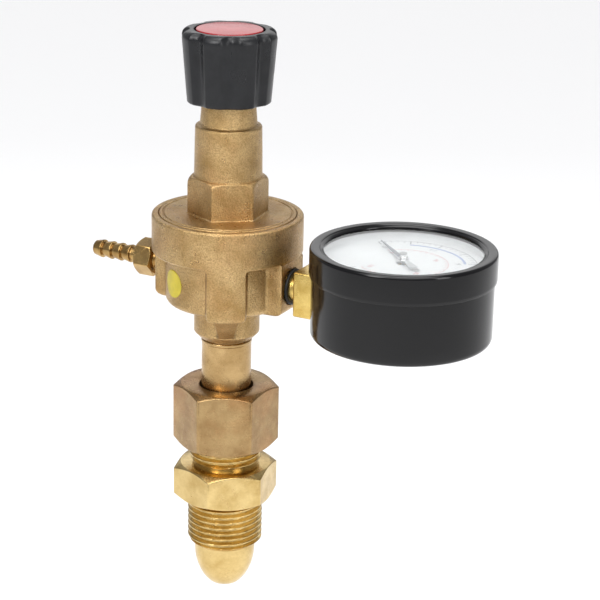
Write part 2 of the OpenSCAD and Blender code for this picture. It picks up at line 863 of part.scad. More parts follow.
// Disc on top of the spring; the spindle's point turns in its dimple
module spring_button() {
  centre_d = spring_mean_d - spring_wire_d - 0.8;
  color(steel)
    difference() {
      union() {
        translate([0, 0, button_z])
          cylinder(h = button_t, d = button_d);
        translate([0, 0, button_z - 1.4])
          cylinder(h = 1.5, d1 = centre_d - 1, d2 = centre_d);
      }
      translate([0, 0, button_top_z - dimple_h])
        cylinder(h = dimple_h + eps, d1 = 1, d2 = 1 + 2 * dimple_h);
    }
}

// Adjusting spindle: pointed foot, threaded middle, flatted head tapped for the knob's screw
module spindle() {
  point_z = button_top_z - dimple_h + running_fit;
  head_z = knob_space_top_z;
  color(steel)
    difference() {
      union() {
        translate([0, 0, point_z])
          cylinder(h = dimple_h, d1 = 1, d2 = 1 + 2 * dimple_h);
        translate([0, 0, point_z + dimple_h - eps])
          cylinder(h = head_z - point_z - dimple_h + eps, d = spindle_d);
        translate([0, 0, head_z - eps])
          cylinder(h = spindle_top_z - head_z + eps, d = drive_d);
      }
      translate([drive_flat, -drive_d, head_z])
        cube([drive_d, 2 * drive_d, spindle_top_z - head_z + 1]);
      translate([0, 0, hub_top_z + knob_washer_t - screw_h - 0.6])
        cylinder(h = screw_h + 2, d = screw_d + 0.1);
    }
}

module knob() {
  foot_r = knob_foot_d / 2;
  wide_r = knob_d / 2;
  taper = atan((wide_r - foot_r) / (knob_widest_z - knob_z));
  groove_r = 3;
  hub_fit = 0.06;
  color("dimgray")
    difference() {
      rotate_extrude()
        polygon(concat(
          [[0, knob_z], [foot_r - 0.6, knob_z], [foot_r, knob_z + 0.6]],
          arc(wide_r - 2, knob_top_z - 2, 2, 0, 90),
          [[0, knob_top_z]]
        ));
      for (i = [0 : knob_grooves - 1])
        rotate([0, 0, knob_groove_turn + i * 360 / knob_grooves])
          translate([foot_r + groove_r - knob_groove_depth, 0, knob_z])
            rotate([0, taper, 0])
              translate([0, 0, -2])
                cylinder(h = knob_h + 4, r = groove_r);
      translate([0, 0, knob_z - 1])
        cylinder(h = knob_space_top_z - knob_z + 1, d = knob_space_d);
      difference() {
        translate([0, 0, knob_space_top_z - 1])
          cylinder(h = hub_top_z - knob_space_top_z + 2, d = drive_d + hub_fit);
        translate([drive_flat + hub_fit / 2, -drive_d, knob_space_top_z])
          cube([drive_d, 2 * drive_d, hub_top_z - knob_space_top_z + 2]);
      }
      translate([0, 0, hub_top_z])
        cylinder(h = knob_h, d = 9.2);
      translate([0, 0, cap_recess_z])
        cylinder(h = knob_h, d = cap_d + 1.2);
    }
}

module knob_washer() {
  color(steel)
    translate([0, 0, hub_top_z])
      washer(8.4, screw_d + 0.3, knob_washer_t);
}

module knob_screw() {
  head_z = hub_top_z + knob_washer_t;
  head_h = 2;
  color(steel)
    difference() {
      union() {
        translate([0, 0, head_z - screw_h])
          cylinder(h = screw_h + eps, d = screw_d);
        translate([0, 0, head_z])
          cylinder(h = head_h, d = 7);
      }
      translate([-4, -0.5, head_z + head_h - 0.9])
        cube([8, 1, 1]);
    }
}

// Cap pressed into the top of the knob, hollow over the screw
module knob_cap() {
  cap_r = cap_d / 2;
  crown = 0.3;
  top_z = knob_top_z + cap_rise;
  color("crimson")
    rotate_extrude()
      polygon([
        [0, top_z - 1.3],
        [cap_r - 1.4, top_z - 1.3],
        [cap_r - 1.4, cap_recess_z],
        [cap_r, cap_recess_z],
        [cap_r, top_z - crown - 0.5],
        [cap_r - 0.6, top_z - crown],
        [cap_r / 2, top_z - crown / 4],
        [0, top_z]
      ]);
}

// Threaded shank that ends in a port's mouth, and the round neck that carries the seal ring out to x1
module shank(face_x, x1, d, z) {
  thread_d = d - 2 * thread_fit;
  port_rod(shank_end_x, face_x - neck_step, thread_d, thread_d, z);
  port_rod(face_x - neck_step - eps, x1 + eps, d - 2 * neck_step, d - 2 * neck_step, z);
}

// Rubber ring stretched over a neck, against the face of its boss
module seal_ring(face_x, d, z) {
  neck_d = d - 2 * neck_step;
  color("dimgray")
    translate([face_x, 0, z])
      rotate([0, 90, 0])
        washer(neck_d + 2 * port_seal_w, neck_d, port_seal_t);
}

module barb_washer() {
  mirror([1, 0, 0])
    seal_ring(outlet_face_x, outlet_d, outlet_z);
}

// Hose barb: threaded shank, neck, hexagon and ramped barbs with a short land at each crest
module hose_barb() {
  neck_x = barb_tip_x - barb_count * barb_pitch;
  land = 0.5;
  metering_d = 0.8;
  color("goldenrod")
    mirror([1, 0, 0])
      difference() {
        union() {
          shank(outlet_face_x, barb_hex_x - barb_hex_l, outlet_d, outlet_z);
          translate([barb_hex_x, 0, outlet_z])
            rotate([0, -90, 0])
              hex_prism(barb_hex_af, barb_hex_l, true, true, barb_hex_turn);
          port_rod(barb_hex_x - eps, barb_tip_x, barb_root_d, barb_root_d, outlet_z);
          for (i = [0 : barb_count - 1]) {
            crest_x = neck_x + i * barb_pitch;
            port_rod(crest_x, crest_x + land, barb_d, barb_d, outlet_z);
            port_rod(crest_x + land - eps, crest_x + barb_pitch, barb_d, barb_root_d, outlet_z);
          }
        }
        port_rod(shank_end_x + 3, barb_tip_x + 1, barb_bore_d, barb_bore_d, outlet_z);
        port_rod(shank_end_x - 1, shank_end_x + 4, metering_d, metering_d, outlet_z);
      }
}

module gauge_washer() {
  seal_ring(port_face_x, port_d, port_z);
}

// The Bourdon tube's path: a flat-sided section turned about the gauge's centre
module tube_section(fit, wall) {
  translate([tube_r - tube_t / 2 - fit + wall, -fit + wall])
    square([tube_t + 2 * fit - 2 * wall, tube_h + 2 * fit - 2 * wall]);
}

// Gauge socket: threaded shank, wrench block, and the foot that holds the tube and the movement
module gauge_socket() {
  foot_start = case_in_r - 1.6;
  foot_end = 10;
  floor_z = gauge_z + case_wall;
  color("gold")
    difference() {
      union() {
        shank(port_face_x, block_x, port_d, port_z);
        translate([block_x, -block_w / 2, port_z - block_w / 2])
          cube([gauge_x - foot_start - block_x, block_w, block_w]);
        translate([gauge_x - foot_start - eps, -foot_w / 2, port_z - block_w / 2])
          cube([foot_start - foot_end, foot_w, foot_top_z - port_z + block_w / 2]);
        translate([gauge_x - foot_start + 2, -foot_w / 2, floor_z])
          cube([foot_start - foot_end - 2, foot_w, 2]);
      }
      at_gauge(tube_z)
        rotate_extrude()
          tube_section(0.02, 0);
      port_rod(shank_end_x - 1, gauge_x - tube_r, 2, 2);
      for (y = [-foot_screw_y, foot_screw_y]) {
        translate([gauge_x + case_screw_x, y, floor_z - 1])
          cylinder(h = 6, d = 2.5);
        translate([gauge_x + base_screw_x, y, foot_top_z - 4])
          cylinder(h = 5, d = 2.1);
      }
    }
}

module gauge_case() {
  floor_r = case_r - case_fillet;
  color("dimgray")
    difference() {
      at_gauge(0)
        rotate_extrude()
          polygon(concat(
            [[0, gauge_z]],
            arc(floor_r, gauge_z + case_fillet, case_fillet, -90, 0),
            [[case_r, case_top_z], [case_in_r, case_top_z]],
            arc(floor_r, gauge_z + case_fillet, case_fillet - case_wall, 0, -90),
            [[0, gauge_z + case_wall]]
          ));
      translate([gauge_x - case_r - 1, -block_w / 2 - 0.1, port_z - block_w / 2 - 0.1])
        cube([4, block_w + 0.2, block_w + 0.2]);
      for (y = [-foot_screw_y, foot_screw_y])
        translate([gauge_x + case_screw_x, y, gauge_z - eps]) {
          cylinder(h = 1.21, d1 = 4.9, d2 = 2.5);
          cylinder(h = 3, d = 2.5);
        }
    }
}

// Countersunk screws through the floor of the case into the socket's foot
module case_screws() {
  color(steel)
    for (y = [-foot_screw_y, foot_screw_y])
      translate([gauge_x + case_screw_x, y, gauge_z])
        difference() {
          union() {
            cylinder(h = 1.2, d1 = 4.7, d2 = 2.4);
            cylinder(h = 5.4, d = 2.4);
          }
          translate([-3, -0.3, -1])
            cube([6, 0.6, 1.5]);
        }
}

module gauge_bezel() {
  bezel_r = bezel_d / 2;
  skirt_r = case_r + 0.05;
  lip_r = bezel_lip_d / 2;
  edge = 1.3;
  color("dimgray")
    at_gauge(0)
      rotate_extrude()
        polygon(concat(
          [[skirt_r, bezel_z], [bezel_r - 0.3, bezel_z], [bezel_r, bezel_z + 0.3]],
          arc(bezel_r - edge, gauge_top_z - edge, edge, 0, 90),
          [[lip_r + 0.8, gauge_top_z - 0.35], [lip_r, gauge_top_z - 0.7], [lip_r, window_top_z]],
          [[skirt_r, window_top_z]]
        ));
}

module gauge_window() {
  color("white", 0.35)
    at_gauge(window_z)
      cylinder(h = window_t, r = case_r - 0.9);
}

module window_gasket() {
  color("black")
    at_gauge(gasket_z)
      washer(case_d - 0.1, window_d + 1.4, gasket_t);
}

module gauge_dial() {
  color("white")
    at_gauge(dial_z)
      difference() {
        cylinder(h = dial_t, r = case_in_r - 0.5);
        translate([0, 0, -1])
          cylinder(h = dial_t + 2, d = 4);
        for (i = [0, 1])
          translate([pillars[i][0], pillars[i][1], -1])
            cylinder(h = dial_t + 2, d = 1.3);
      }
}

module dial_screws() {
  color(steel)
    at_gauge(dial_top_z)
      for (i = [0, 1])
        translate([pillars[i][0], pillars[i][1], 0])
          difference() {
            union() {
              cylinder(h = 0.5, d = 2.2);
              translate([0, 0, -2.2])
                cylinder(h = 2.3, d = 1.2);
            }
            translate([-2, -0.15, 0.25])
              cube([4, 0.3, 1]);
          }
}

// C-shaped tube of thin flattened brass, its root in the socket's foot
module bourdon_tube() {
  color(brass)
    at_gauge(tube_z)
      rotate([0, 0, tube_tip_angle])
        rotate_extrude(angle = tube_sweep)
          difference() {
            tube_section(0, 0);
            tube_section(0, 0.3);
          }
}

// Tip that closes the tube and carries the link's pin; it swings out as the tube uncurls
module tube_tip() {
  cap_t = 1.2;
  arm_w = 2;
  arm_z = tube_z + tube_h + 0.6;
  arm_top_z = link_z - 0.35;
  color(brass)
    at_gauge(0)
      union() {
        rotate([0, 0, tube_tip_angle])
          translate([tube_r - 1.6, -cap_t - 0.02, tube_z - 0.3])
            cube([3.2, cap_t, arm_top_z - tube_z + 0.3]);
        rotate([0, 0, tube_tip_angle])
          translate([tip_pin_r - arm_w / 2, -cap_t - 0.02, arm_z])
            cube([tube_r - tip_pin_r, cap_t + arm_w / 2, arm_top_z - arm_z]);
        translate([tip_pin_x, tip_pin_y, arm_z])
          cylinder(h = arm_top_z - arm_z, d = arm_w);
        translate([tip_pin_x, tip_pin_y, arm_z])
          cylinder(h = link_z + link_t + 0.6 - arm_z, d = pin_d);
      }
}

// Link from the sector's tail to the tip's pin, with a free hole at the tip
module tube_link() {
  span = norm([tip_pin_x - tail_x, tip_pin_y - tail_y]);
  heading = atan2(tip_pin_y - tail_y, tip_pin_x - tail_x);
  eye_d = 2.4;
  color(steel)
    at_gauge(link_z)
      translate([tail_x, tail_y, 0])
        rotate([0, 0, heading])
          difference() {
            union() {
              cylinder(h = link_t, d = eye_d);
              translate([span, 0, 0])
                cylinder(h = link_t, d = eye_d);
              translate([0, -0.6, 0])
                cube([span, 1.2, link_t]);
            }
            translate([0, 0, -1])
              cylinder(h = link_t + 2, d = pin_d + 2 * running_fit);
            translate([span, 0, -1])
              cylinder(h = link_t + 2, d = pin_d + 2 * open_pivot_fit);
          }
}

// Pin riveted in the sector's tail, on which the link turns
module link_pins() {
  color(steel)
    at_gauge(sector_z)
      translate([tail_x, tail_y, 0])
        cylinder(h = link_z + link_t + 0.5 - sector_z, d = pin_d);
}

// Outline shared by the two movement plates
module plate_outline() {
  hull() {
    circle(r = 2.6, $fn = 32);
    translate([pivot_x, pivot_y])
      circle(r = 2.6, $fn = 32);
    for (p = pillars)
      translate(p)
        circle(r = 2.2, $fn = 32);
  }
}

module movement_base() {
  color(brass)
    at_gauge(base_z)
      difference() {
        union() {
          linear_extrude(base_t)
            plate_outline();
          translate([-15.5, -5, 0])
            cube([7, 10, base_t]);
        }
        translate([0, 0, -1])
          cylinder(h = base_t + 2, d = arbor_d + 2 * running_fit);
        translate([pivot_x, pivot_y, -1])
          cylinder(h = base_t + 2, d = arbor_d + 2 * running_fit);
        for (p = pillars)
          translate([p[0], p[1], -1])
            cylinder(h = base_t + 2, d = 1.5);
        for (y = [-foot_screw_y, foot_screw_y])
          translate([base_screw_x, y, -1])
            cylinder(h = base_t + 2, d = 2.1);
      }
}

module movement_top() {
  color(brass)
    at_gauge(top_z)
      difference() {
        linear_extrude(top_t)
          plate_outline();
        translate([0, 0, -1])
          cylinder(h = top_t + 2, d = arbor_d + 2 * running_fit);
        translate([pivot_x, pivot_y, -1])
          cylinder(h = top_t + 2, d = arbor_d + 2 * running_fit);
        for (p = pillars)
          translate([p[0], p[1], -1])
            cylinder(h = top_t + 2, d = 1.9);
      }
}

// Three pillars between the plates; two run on up to the dial
module movement_pillars() {
  color(brass)
    at_gauge(0)
      for (i = [0 : 2])
        translate([pillars[i][0], pillars[i][1], 0])
          difference() {
            union() {
              translate([0, 0, base_z + base_t])
                cylinder(h = top_z - base_z - base_t, d = pillar_d);
              translate([0, 0, base_z + 0.1])
                cylinder(h = base_t, d = 1.4);
              translate([0, 0, top_z - eps])
                cylinder(h = (i < 2 ? dial_z - top_z : top_t) + eps, d = 1.8);
            }
            translate([0, 0, dial_top_z - 2.4])
              cylinder(h = 3, d = 1.25);
          }
}

module movement_screws() {
  color(steel)
    at_gauge(base_z + base_t)
      for (y = [-foot_screw_y, foot_screw_y])
        translate([base_screw_x, y, 0])
          difference() {
            union() {
              cylinder(h = 1, d = 3.4);
              translate([0, 0, -base_t - 3.6])
                cylinder(h = base_t + 3.7, d = 2);
            }
            translate([-2, -0.2, 0.5])
              cube([4, 0.4, 1]);
          }
}

// One gear tooth pointing along +X, narrowed for backlash, as a polygon about the gear's centre
function tooth(r, teeth) =
  let (
    half = 90 / teeth - backlash / r * 57.3 / 2,
    tip = r + 0.8 * gear_module,
    root = r - 1.1 * gear_module,
    slope = 20,
    lean_tip = 0.8 * gear_module * tan(slope) / r * 57.3,
    lean_root = 1.1 * gear_module * tan(slope) / r * 57.3
  )
  [
    [root - 0.05, -half - lean_root],
    [root, -half - lean_root],
    [r, -half],
    [tip, -half + lean_tip],
    [tip, half - lean_tip],
    [r, half],
    [root, half + lean_root],
    [root - 0.05, half + lean_root]
  ];

function polar(p, turn) = [p[0] * cos(p[1] + turn), p[0] * sin(p[1] + turn)];

// Toothed sector on its arbor, with the tail that the link pulls
module sector_gear() {
  mesh_dir = atan2(-pivot_y, -pivot_x);
  step = 360 / sector_full_teeth;
  spare = 1.5;
  sector_hub_r = 1.5;
  tail_w = 1.4;
  tail_eye_r = 1.1;
  lead = ceil(sector_turn / step) + spare;
  root = sector_r - 1.1 * gear_module;
  color(brass)
    at_gauge(0)
      translate([pivot_x, pivot_y, 0]) {
        translate([0, 0, sector_z])
          linear_extrude(sector_t)
            difference() {
              union() {
                polygon(concat(
                  [[0, 0]],
                  [
                    for (i = [-lead - 0.5 : 1 : spare + 0.5])
                      polar([root + 0.02, i * step], mesh_dir)
                  ]
                ));
                for (i = [-lead : 1 : spare])
                  let (turn = mesh_dir + (i + spare % 1) * step)
                    polygon([for (p = tooth(sector_r, sector_full_teeth)) polar(p, turn)]);
                circle(r = sector_hub_r);
                rotate([0, 0, tail_angle])
                  translate([0, -tail_w / 2])
                    square([tail_l, tail_w]);
                translate([tail_l * cos(tail_angle), tail_l * sin(tail_angle)])
                  circle(r = tail_eye_r);
              }
              translate([tail_l * cos(tail_angle), tail_l * sin(tail_angle)])
                circle(d = pin_d + 0.06);
            }
        translate([0, 0, base_z + 0.05])
          cylinder(h = top_z + top_t - base_z - 0.1, d = arbor_d);
      }
}

// Pinion cut on the pointer's arbor
module pinion_shaft() {
  mesh_dir = atan2(pivot_y, pivot_x);
  step = 360 / pinion_teeth;
  root = pinion_r - 1.1 * gear_module;
  color(steel)
    at_gauge(0) {
      translate([0, 0, sector_z - 0.5])
        linear_extrude(sector_t + 1) {
          circle(r = root);
          for (i = [0 : pinion_teeth - 1])
            polygon([for (p = tooth(pinion_r, pinion_teeth)) polar(p, mesh_dir + (i + 0.5) * step)]);
        }
      translate([0, 0, base_z + 0.05])
        cylinder(h = pointer_z + pointer_t + 0.3 - base_z - 0.05, d = arbor_d);
    }
}

// Flat spiral spring that takes up the play between pinion and sector
module hairspring() {
  turns = 3.5;
  steps = 20;
  count = turns * steps;
  start_r = arbor_d / 2 + 0.1;
  gap = 0.5;
  strip = 0.12;
  function coil_r(i) = start_r + gap * i / steps;
  color(steel)
    at_gauge(sector_z + sector_t + 0.75)
      linear_extrude(0.5)
        polygon(concat(
          [for (i = [0 : count]) polar([coil_r(i), 360 * i / steps], 0)],
          [for (i = [count : -1 : 0]) polar([coil_r(i) + strip, 360 * i / steps], 0)]
        ));
}

// Pointer: tapered blade, spade tail and hub, resting at the scale's zero
module pointer() {
  reach = window_d / 2 - 4;
  tail = 8;
  color("dimgray")
    at_gauge(pointer_z)
      rotate([0, 0, pointer_zero])
        linear_extrude(pointer_t)
          difference() {
            union() {
              circle(r = 1.7);
              polygon([
                [-tail, -1.3],
                [0, -0.6],
                [reach * 0.55, -0.9],
                [reach, -0.12],
                [reach, 0.12],
                [reach * 0.55, 0.9],
                [0, 0.6],
                [-tail, 1.3]
              ]);
            }
            circle(d = arbor_d + 0.06);
          }
}

module pointer_cap() {
  color(steel)
    at_gauge(pointer_z + pointer_t)
      difference() {
        cylinder(h = 0.8, d1 = 2.8, d2 = 2.2);
        translate([0, 0, -eps])
          cylinder(h = 0.36, d = arbor_d + 0.06);
      }
}

bullnose_adapter();
union_washer();
slip_ring();
union_nut();
inlet_stem();
inlet_filter();
regulator_body();
marking_dot();
valve_seat();
seat_o_ring();
poppet();
poppet_seal();
poppet_spring();
valve_pin();
diaphragm();
diaphragm_stud();
spring_plate();
slip_washer();
bonnet();
adjusting_spring();
spring_button();
spindle();
knob();
knob_washer();
knob_screw();
knob_cap();
barb_washer();
hose_barb();
gauge_washer();
gauge_socket();
gauge_case();
case_screws();
gauge_bezel();
gauge_window();
window_gasket();
gauge_dial();
dial_screws();
bourdon_tube();
tube_tip();
tube_link();
link_pins();
movement_base();
movement_top();
movement_pillars();
movement_screws();
sector_gear();
pinion_shaft();
hairspring();
pointer();
pointer_cap();
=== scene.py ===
"""Carbon dioxide cylinder regulator: the finished pieces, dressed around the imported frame.

Every visible piece is a closed mesh in metres, in the frame's own axes: +Z runs up the main axis and
+X points to the gauge. Round and many-sided pieces are shells whose radius is a rule of height and angle,
so that hexagons, lobes, bosses and threads all come from one builder.
"""

import json
import logging
import math
from collections.abc import Callable, Sequence
from dataclasses import dataclass, field
from enum import Enum

import bmesh
import bpy
from mathutils import Matrix, Vector


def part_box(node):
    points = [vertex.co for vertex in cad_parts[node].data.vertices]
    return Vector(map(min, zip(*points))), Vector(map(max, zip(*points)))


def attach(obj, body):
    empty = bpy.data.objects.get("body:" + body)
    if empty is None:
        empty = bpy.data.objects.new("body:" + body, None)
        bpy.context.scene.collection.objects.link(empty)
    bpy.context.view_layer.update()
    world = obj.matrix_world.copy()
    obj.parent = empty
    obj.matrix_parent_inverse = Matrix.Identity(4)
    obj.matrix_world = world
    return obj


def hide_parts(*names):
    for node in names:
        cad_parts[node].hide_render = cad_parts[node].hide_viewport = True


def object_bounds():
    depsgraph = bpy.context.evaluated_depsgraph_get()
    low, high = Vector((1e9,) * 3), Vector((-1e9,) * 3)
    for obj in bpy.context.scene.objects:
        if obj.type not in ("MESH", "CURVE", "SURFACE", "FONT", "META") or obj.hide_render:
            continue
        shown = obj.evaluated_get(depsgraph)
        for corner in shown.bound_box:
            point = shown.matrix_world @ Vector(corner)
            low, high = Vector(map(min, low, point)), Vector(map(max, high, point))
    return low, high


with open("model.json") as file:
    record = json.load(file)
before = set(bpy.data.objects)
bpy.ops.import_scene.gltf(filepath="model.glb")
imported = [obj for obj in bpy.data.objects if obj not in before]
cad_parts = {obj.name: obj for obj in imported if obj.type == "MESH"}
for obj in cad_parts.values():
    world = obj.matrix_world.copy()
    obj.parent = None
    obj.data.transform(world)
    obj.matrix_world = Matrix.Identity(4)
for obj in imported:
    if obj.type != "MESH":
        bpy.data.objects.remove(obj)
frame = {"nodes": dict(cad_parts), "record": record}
FIRST_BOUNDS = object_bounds()

LOG = logging.getLogger("regulator")
MM = 0.001
TAU = 2 * math.pi
SHARP_ANGLE = math.radians(32)

Path = list[tuple[float, float]]
Shaper = Callable[[float, float, float], float]
Palette = dict[str, bpy.types.Material]


class Slot(Enum):
    """The record's material slots that new pieces take their finish from."""

    TURNED = "turned_brass"
    NUT = "nut_brass"
    STEM = "stem_brass"
    FORGED = "forged_brass"
    BLOCK = "block_brass"
    BARB = "barb_brass"
    ENAMEL = "black_enamel"
    DIAL = "dial_white"
    POINTER = "pointer_paint"
    HUB = "bright_hub"
    GLASS = "window_glass"
    KNOB = "knob_plastic"
    CAP = "cap_plastic"
    MARK = "yellow_mark"
    # Rubber seal rings; their black is partly painted shade for the ports' dark mouths.
    RUBBER = "black_rubber"


class Body(Enum):
    """The rigid bodies that pieces ride on."""

    ADAPTER = "adapter"
    NUT = "union_nut"
    REGULATOR = "regulator"
    KNOB = "knob"
    POINTER = "pointer"


# ---------------------------------------------------------------------------------------------------------
# Reading the frame
# ---------------------------------------------------------------------------------------------------------


@dataclass(frozen=True)
class Extent:
    """Lowest and highest corner of a frame node."""

    low: Vector
    high: Vector

    @classmethod
    def of(cls, node: str) -> "Extent":
        """Extent of one named node."""
        return cls(*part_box(node))

    @property
    def centre(self) -> Vector:
        """Middle of the box."""
        return (self.low + self.high) / 2

    @property
    def size(self) -> Vector:
        """Edge lengths of the box."""
        return self.high - self.low


# ---------------------------------------------------------------------------------------------------------
# Shape rules
# ---------------------------------------------------------------------------------------------------------


def smooth_step(low: float, high: float, value: float) -> float:
    """Eased ramp from 0 at low to 1 at high."""
    t = min(1.0, max(0.0, (value - low) / (high - low)))
    return t * t * (3 - 2 * t)


def soft_min(a: float, b: float, blend: float) -> float:
    """Lesser of two lengths, rounded over where they cross.

    Args:
        a: first length.
        b: second length.
        blend: width of the rounding.

    Returns:
        The rounded lesser length.
    """
    h = max(blend - abs(a - b), 0.0) / blend
    return min(a, b) - h * h * blend / 4


def soft_max(a: float, b: float, blend: float) -> float:
    """Greater of two lengths, filleted where they cross."""
    return -soft_min(-a, -b, blend)


def rounded(corners: Sequence[tuple[float, float, float]], steps: int = 5) -> Path:
    """Outline whose corners are turned into arcs.

    Args:
        corners: radius, height and fillet of each corner, in order.
        steps: straight pieces in each arc.

    Returns:
        The outline's points.
    """
    points: Path = []
    count = len(corners)
    for i, (r, z, fillet) in enumerate(corners):
        if fillet <= 0 or i in (0, count - 1):
            points.append((r, z))
            continue
        here = Vector((r, z))
        before = Vector(corners[i - 1][:2]) - here
        after = Vector(corners[i + 1][:2]) - here
        turn = before.angle(after)
        back = min(fillet / math.tan(turn / 2), before.length * 0.49, after.length * 0.49)
        start = here + before.normalized() * back
        end = here + after.normalized() * back
        for k in range(steps + 1):
            t = k / steps
            p = start * (1 - t) ** 2 + here * 2 * t * (1 - t) + end * t * t
            points.append((p.x, p.y))
    return points


def dense(path: Path, step: float) -> Path:
    """The same outline with no gap between points longer than step."""
    out: Path = [path[0]]
    for (r0, z0), (r1, z1) in zip(path, path[1:]):
        parts = max(1, math.ceil(math.hypot(r1 - r0, z1 - z0) / step))
        out += [(r0 + (r1 - r0) * k / parts, z0 + (z1 - z0) * k / parts) for k in range(1, parts + 1)]
    return out


def even_angles(count: int) -> list[float]:
    """Evenly spaced angles round a full turn."""
    return [TAU * i / count for i in range(count)]


def merged_angles(base: Sequence[float], extra: Sequence[float], gap: float = 1e-4) -> list[float]:
    """Two sets of angles in one ordered set without near doubles."""
    ordered = sorted({round(a % TAU, 6) for a in (*base, *extra)})
    return [a for i, a in enumerate(ordered) if i == 0 or a - ordered[i - 1] > gap]


def angles_near(centres: Sequence[float], spread: float, count: int) -> list[float]:
    """Extra angles packed close to each of some directions."""
    return [c + spread * (2 * k / (count - 1) - 1) for c in centres for k in range(count)]


@dataclass(frozen=True)
class Hexagon:
    """Cross-section with six flats and rounded corners.

    Args:
        flat: distance from the axis to a flat.
        turn: direction of one flat, in radians.
        corner: radius of the corners.
    """

    flat: float
    turn: float
    corner: float = 0.35 * MM

    def radius(self, angle: float) -> float:
        """Radius of the hexagon in one direction."""
        phi = (angle - self.turn + math.pi / 6) % (math.pi / 3) - math.pi / 6
        reach = (self.flat - self.corner) / math.cos(math.pi / 6)
        tangent = math.atan2((self.flat - self.corner) * math.tan(math.pi / 6), self.flat)
        if abs(phi) <= tangent:
            return self.flat / math.cos(phi)
        psi = math.pi / 6 - abs(phi)
        return reach * math.cos(psi) + math.sqrt(max(self.corner**2 - (reach * math.sin(psi)) ** 2, 0.0))

    def turned_rows(
        self,
        low: float,
        high: float,
        inset: float,
        step: float,
        over: float = 0.02 * MM,
        slack: float = 0.3 * MM,
    ) -> Path:
        """Outline of the hexagon's two turned chamfers.

        Args:
            low: height of the lower end.
            high: height of the upper end.
            inset: how far within the flats both ends start.
            step: longest gap between points.
            over: how far the outline passes the corners.
            slack: extra width that the chamfers run down.

        Returns:
            The outline's points, from the low end to the high one.
        """
        corner = self.flat / math.cos(math.pi / 6) + over
        rise = (corner - self.flat + slack) * math.tan(math.pi / 6)
        start = dense([(self.flat - inset, low), (corner, low + rise)], step)
        return start + dense([(corner, high - rise), (self.flat - inset, high)], step)

    def angles(self, base: int = 96) -> list[float]:
        """Directions that draw the corners crisply."""
        corners = [self.turn + math.pi / 6 + i * math.pi / 3 for i in range(6)]
        return merged_angles(even_angles(base), angles_near(corners, math.radians(2.2), 9))


@dataclass(frozen=True)
class Helix:
    """Right-handed thread as a rule of height and angle.

    Args:
        crest: radius over the crests.
        depth: depth of the thread.
        pitch: rise for each turn.
        phase: height of a crest at angle zero.
        crest_part: share of the pitch taken by the flat crest.
        root_part: share of the pitch taken by the root.
    """

    crest: float
    depth: float
    pitch: float
    phase: float
    crest_part: float = 0.16
    root_part: float = 0.14

    def radius(self, height: float, angle: float) -> float:
        """Radius of the thread at one place."""
        t = ((height - self.phase) / self.pitch - angle / TAU + 0.5) % 1.0 - 0.5
        ramp = (abs(t) - self.crest_part / 2) / (0.5 - self.crest_part / 2 - self.root_part / 2)
        ramp = min(1.0, max(0.0, ramp))
        return self.crest - self.depth * (ramp * 0.6 + smooth_step(0, 1, ramp) * 0.4)


# ---------------------------------------------------------------------------------------------------------
# Meshes
# ---------------------------------------------------------------------------------------------------------


def placed(name: str, data: bpy.types.ID | None) -> bpy.types.Object:
    """New object with the given data, linked into the scene."""
    obj = bpy.data.objects.new(name, data)
    bpy.context.scene.collection.objects.link(obj)
    return obj


def settled_mesh(obj: bpy.types.Object) -> bpy.types.Mesh:
    """Plain mesh of an object as its modifiers leave it."""
    graph = bpy.context.evaluated_depsgraph_get()
    return bpy.data.meshes.new_from_object(obj.evaluated_get(graph))


def finish_mesh(obj: bpy.types.Object) -> bpy.types.Object:
    """Smooth shading that keeps real edges sharp."""
    obj.data.shade_smooth()
    obj.data.set_sharp_from_angle(angle=SHARP_ANGLE)
    return obj


def from_bmesh(name: str, bm: bmesh.types.BMesh) -> bpy.types.Object:
    """Object made from an edit mesh, which is freed."""
    mesh = bpy.data.meshes.new(name)
    bm.to_mesh(mesh)
    bm.free()
    return finish_mesh(placed(name, mesh))


def shell(
    name: str,
    path: Path,
    angles: Sequence[float],
    shape: Shaper | None = None,
    place: Matrix | None = None,
) -> bpy.types.Object:
    """Closed shell swept round an axis, whose radius may depend on the angle.

    Args:
        name: name of the new object.
        path: outline from one pole to the other, or a ring that closes on itself.
        angles: ordered directions of the shell's ribs.
        shape: rule from radius, height and angle to the real radius.
        place: matrix that takes the shell from its own +Z axis to its place.

    Returns:
        The new object, at the origin.
    """
    bm = bmesh.new()
    tiny = 1e-7
    start_pole = path[0][0] < tiny
    end_pole = path[-1][0] < tiny
    ring_path = not (start_pole and end_pole)
    rows: list[list[bmesh.types.BMVert]] = []
    for r, z in path:
        if r < tiny:
            rows.append([bm.verts.new((0, 0, z))])
            continue
        row = []
        for a in angles:
            rr = shape(r, z, a) if shape else r
            row.append(bm.verts.new((rr * math.cos(a), rr * math.sin(a), z)))
        rows.append(row)
    pairs = list(zip(rows, rows[1:]))
    if ring_path:
        pairs.append((rows[-1], rows[0]))
    count = len(angles)
    for low, high in pairs:
        for j in range(count):
            k = (j + 1) % count
            if len(low) == 1:
                bm.faces.new((low[0], high[k], high[j]))
            elif len(high) == 1:
                bm.faces.new((low[j], low[k], high[0]))
            else:
                bm.faces.new((low[j], low[k], high[k], high[j]))
    if place is not None:
        bm.transform(place)
    bmesh.ops.recalc_face_normals(bm, faces=bm.faces)
    return from_bmesh(name, bm)


def rounded_box(name: str, low: Vector, high: Vector, edge: float, segments: int = 3) -> bpy.types.Object:
    """Box with rounded edges between two corners."""
    bm = bmesh.new()
    bmesh.ops.create_cube(bm, size=1.0)
    for v in bm.verts:
        v.co = Vector((low[i] + (v.co[i] + 0.5) * (high[i] - low[i]) for i in range(3)))
    bmesh.ops.bevel(bm, geom=list(bm.edges), offset=edge, segments=segments, profile=0.5, affect="EDGES")
    return from_bmesh(name, bm)


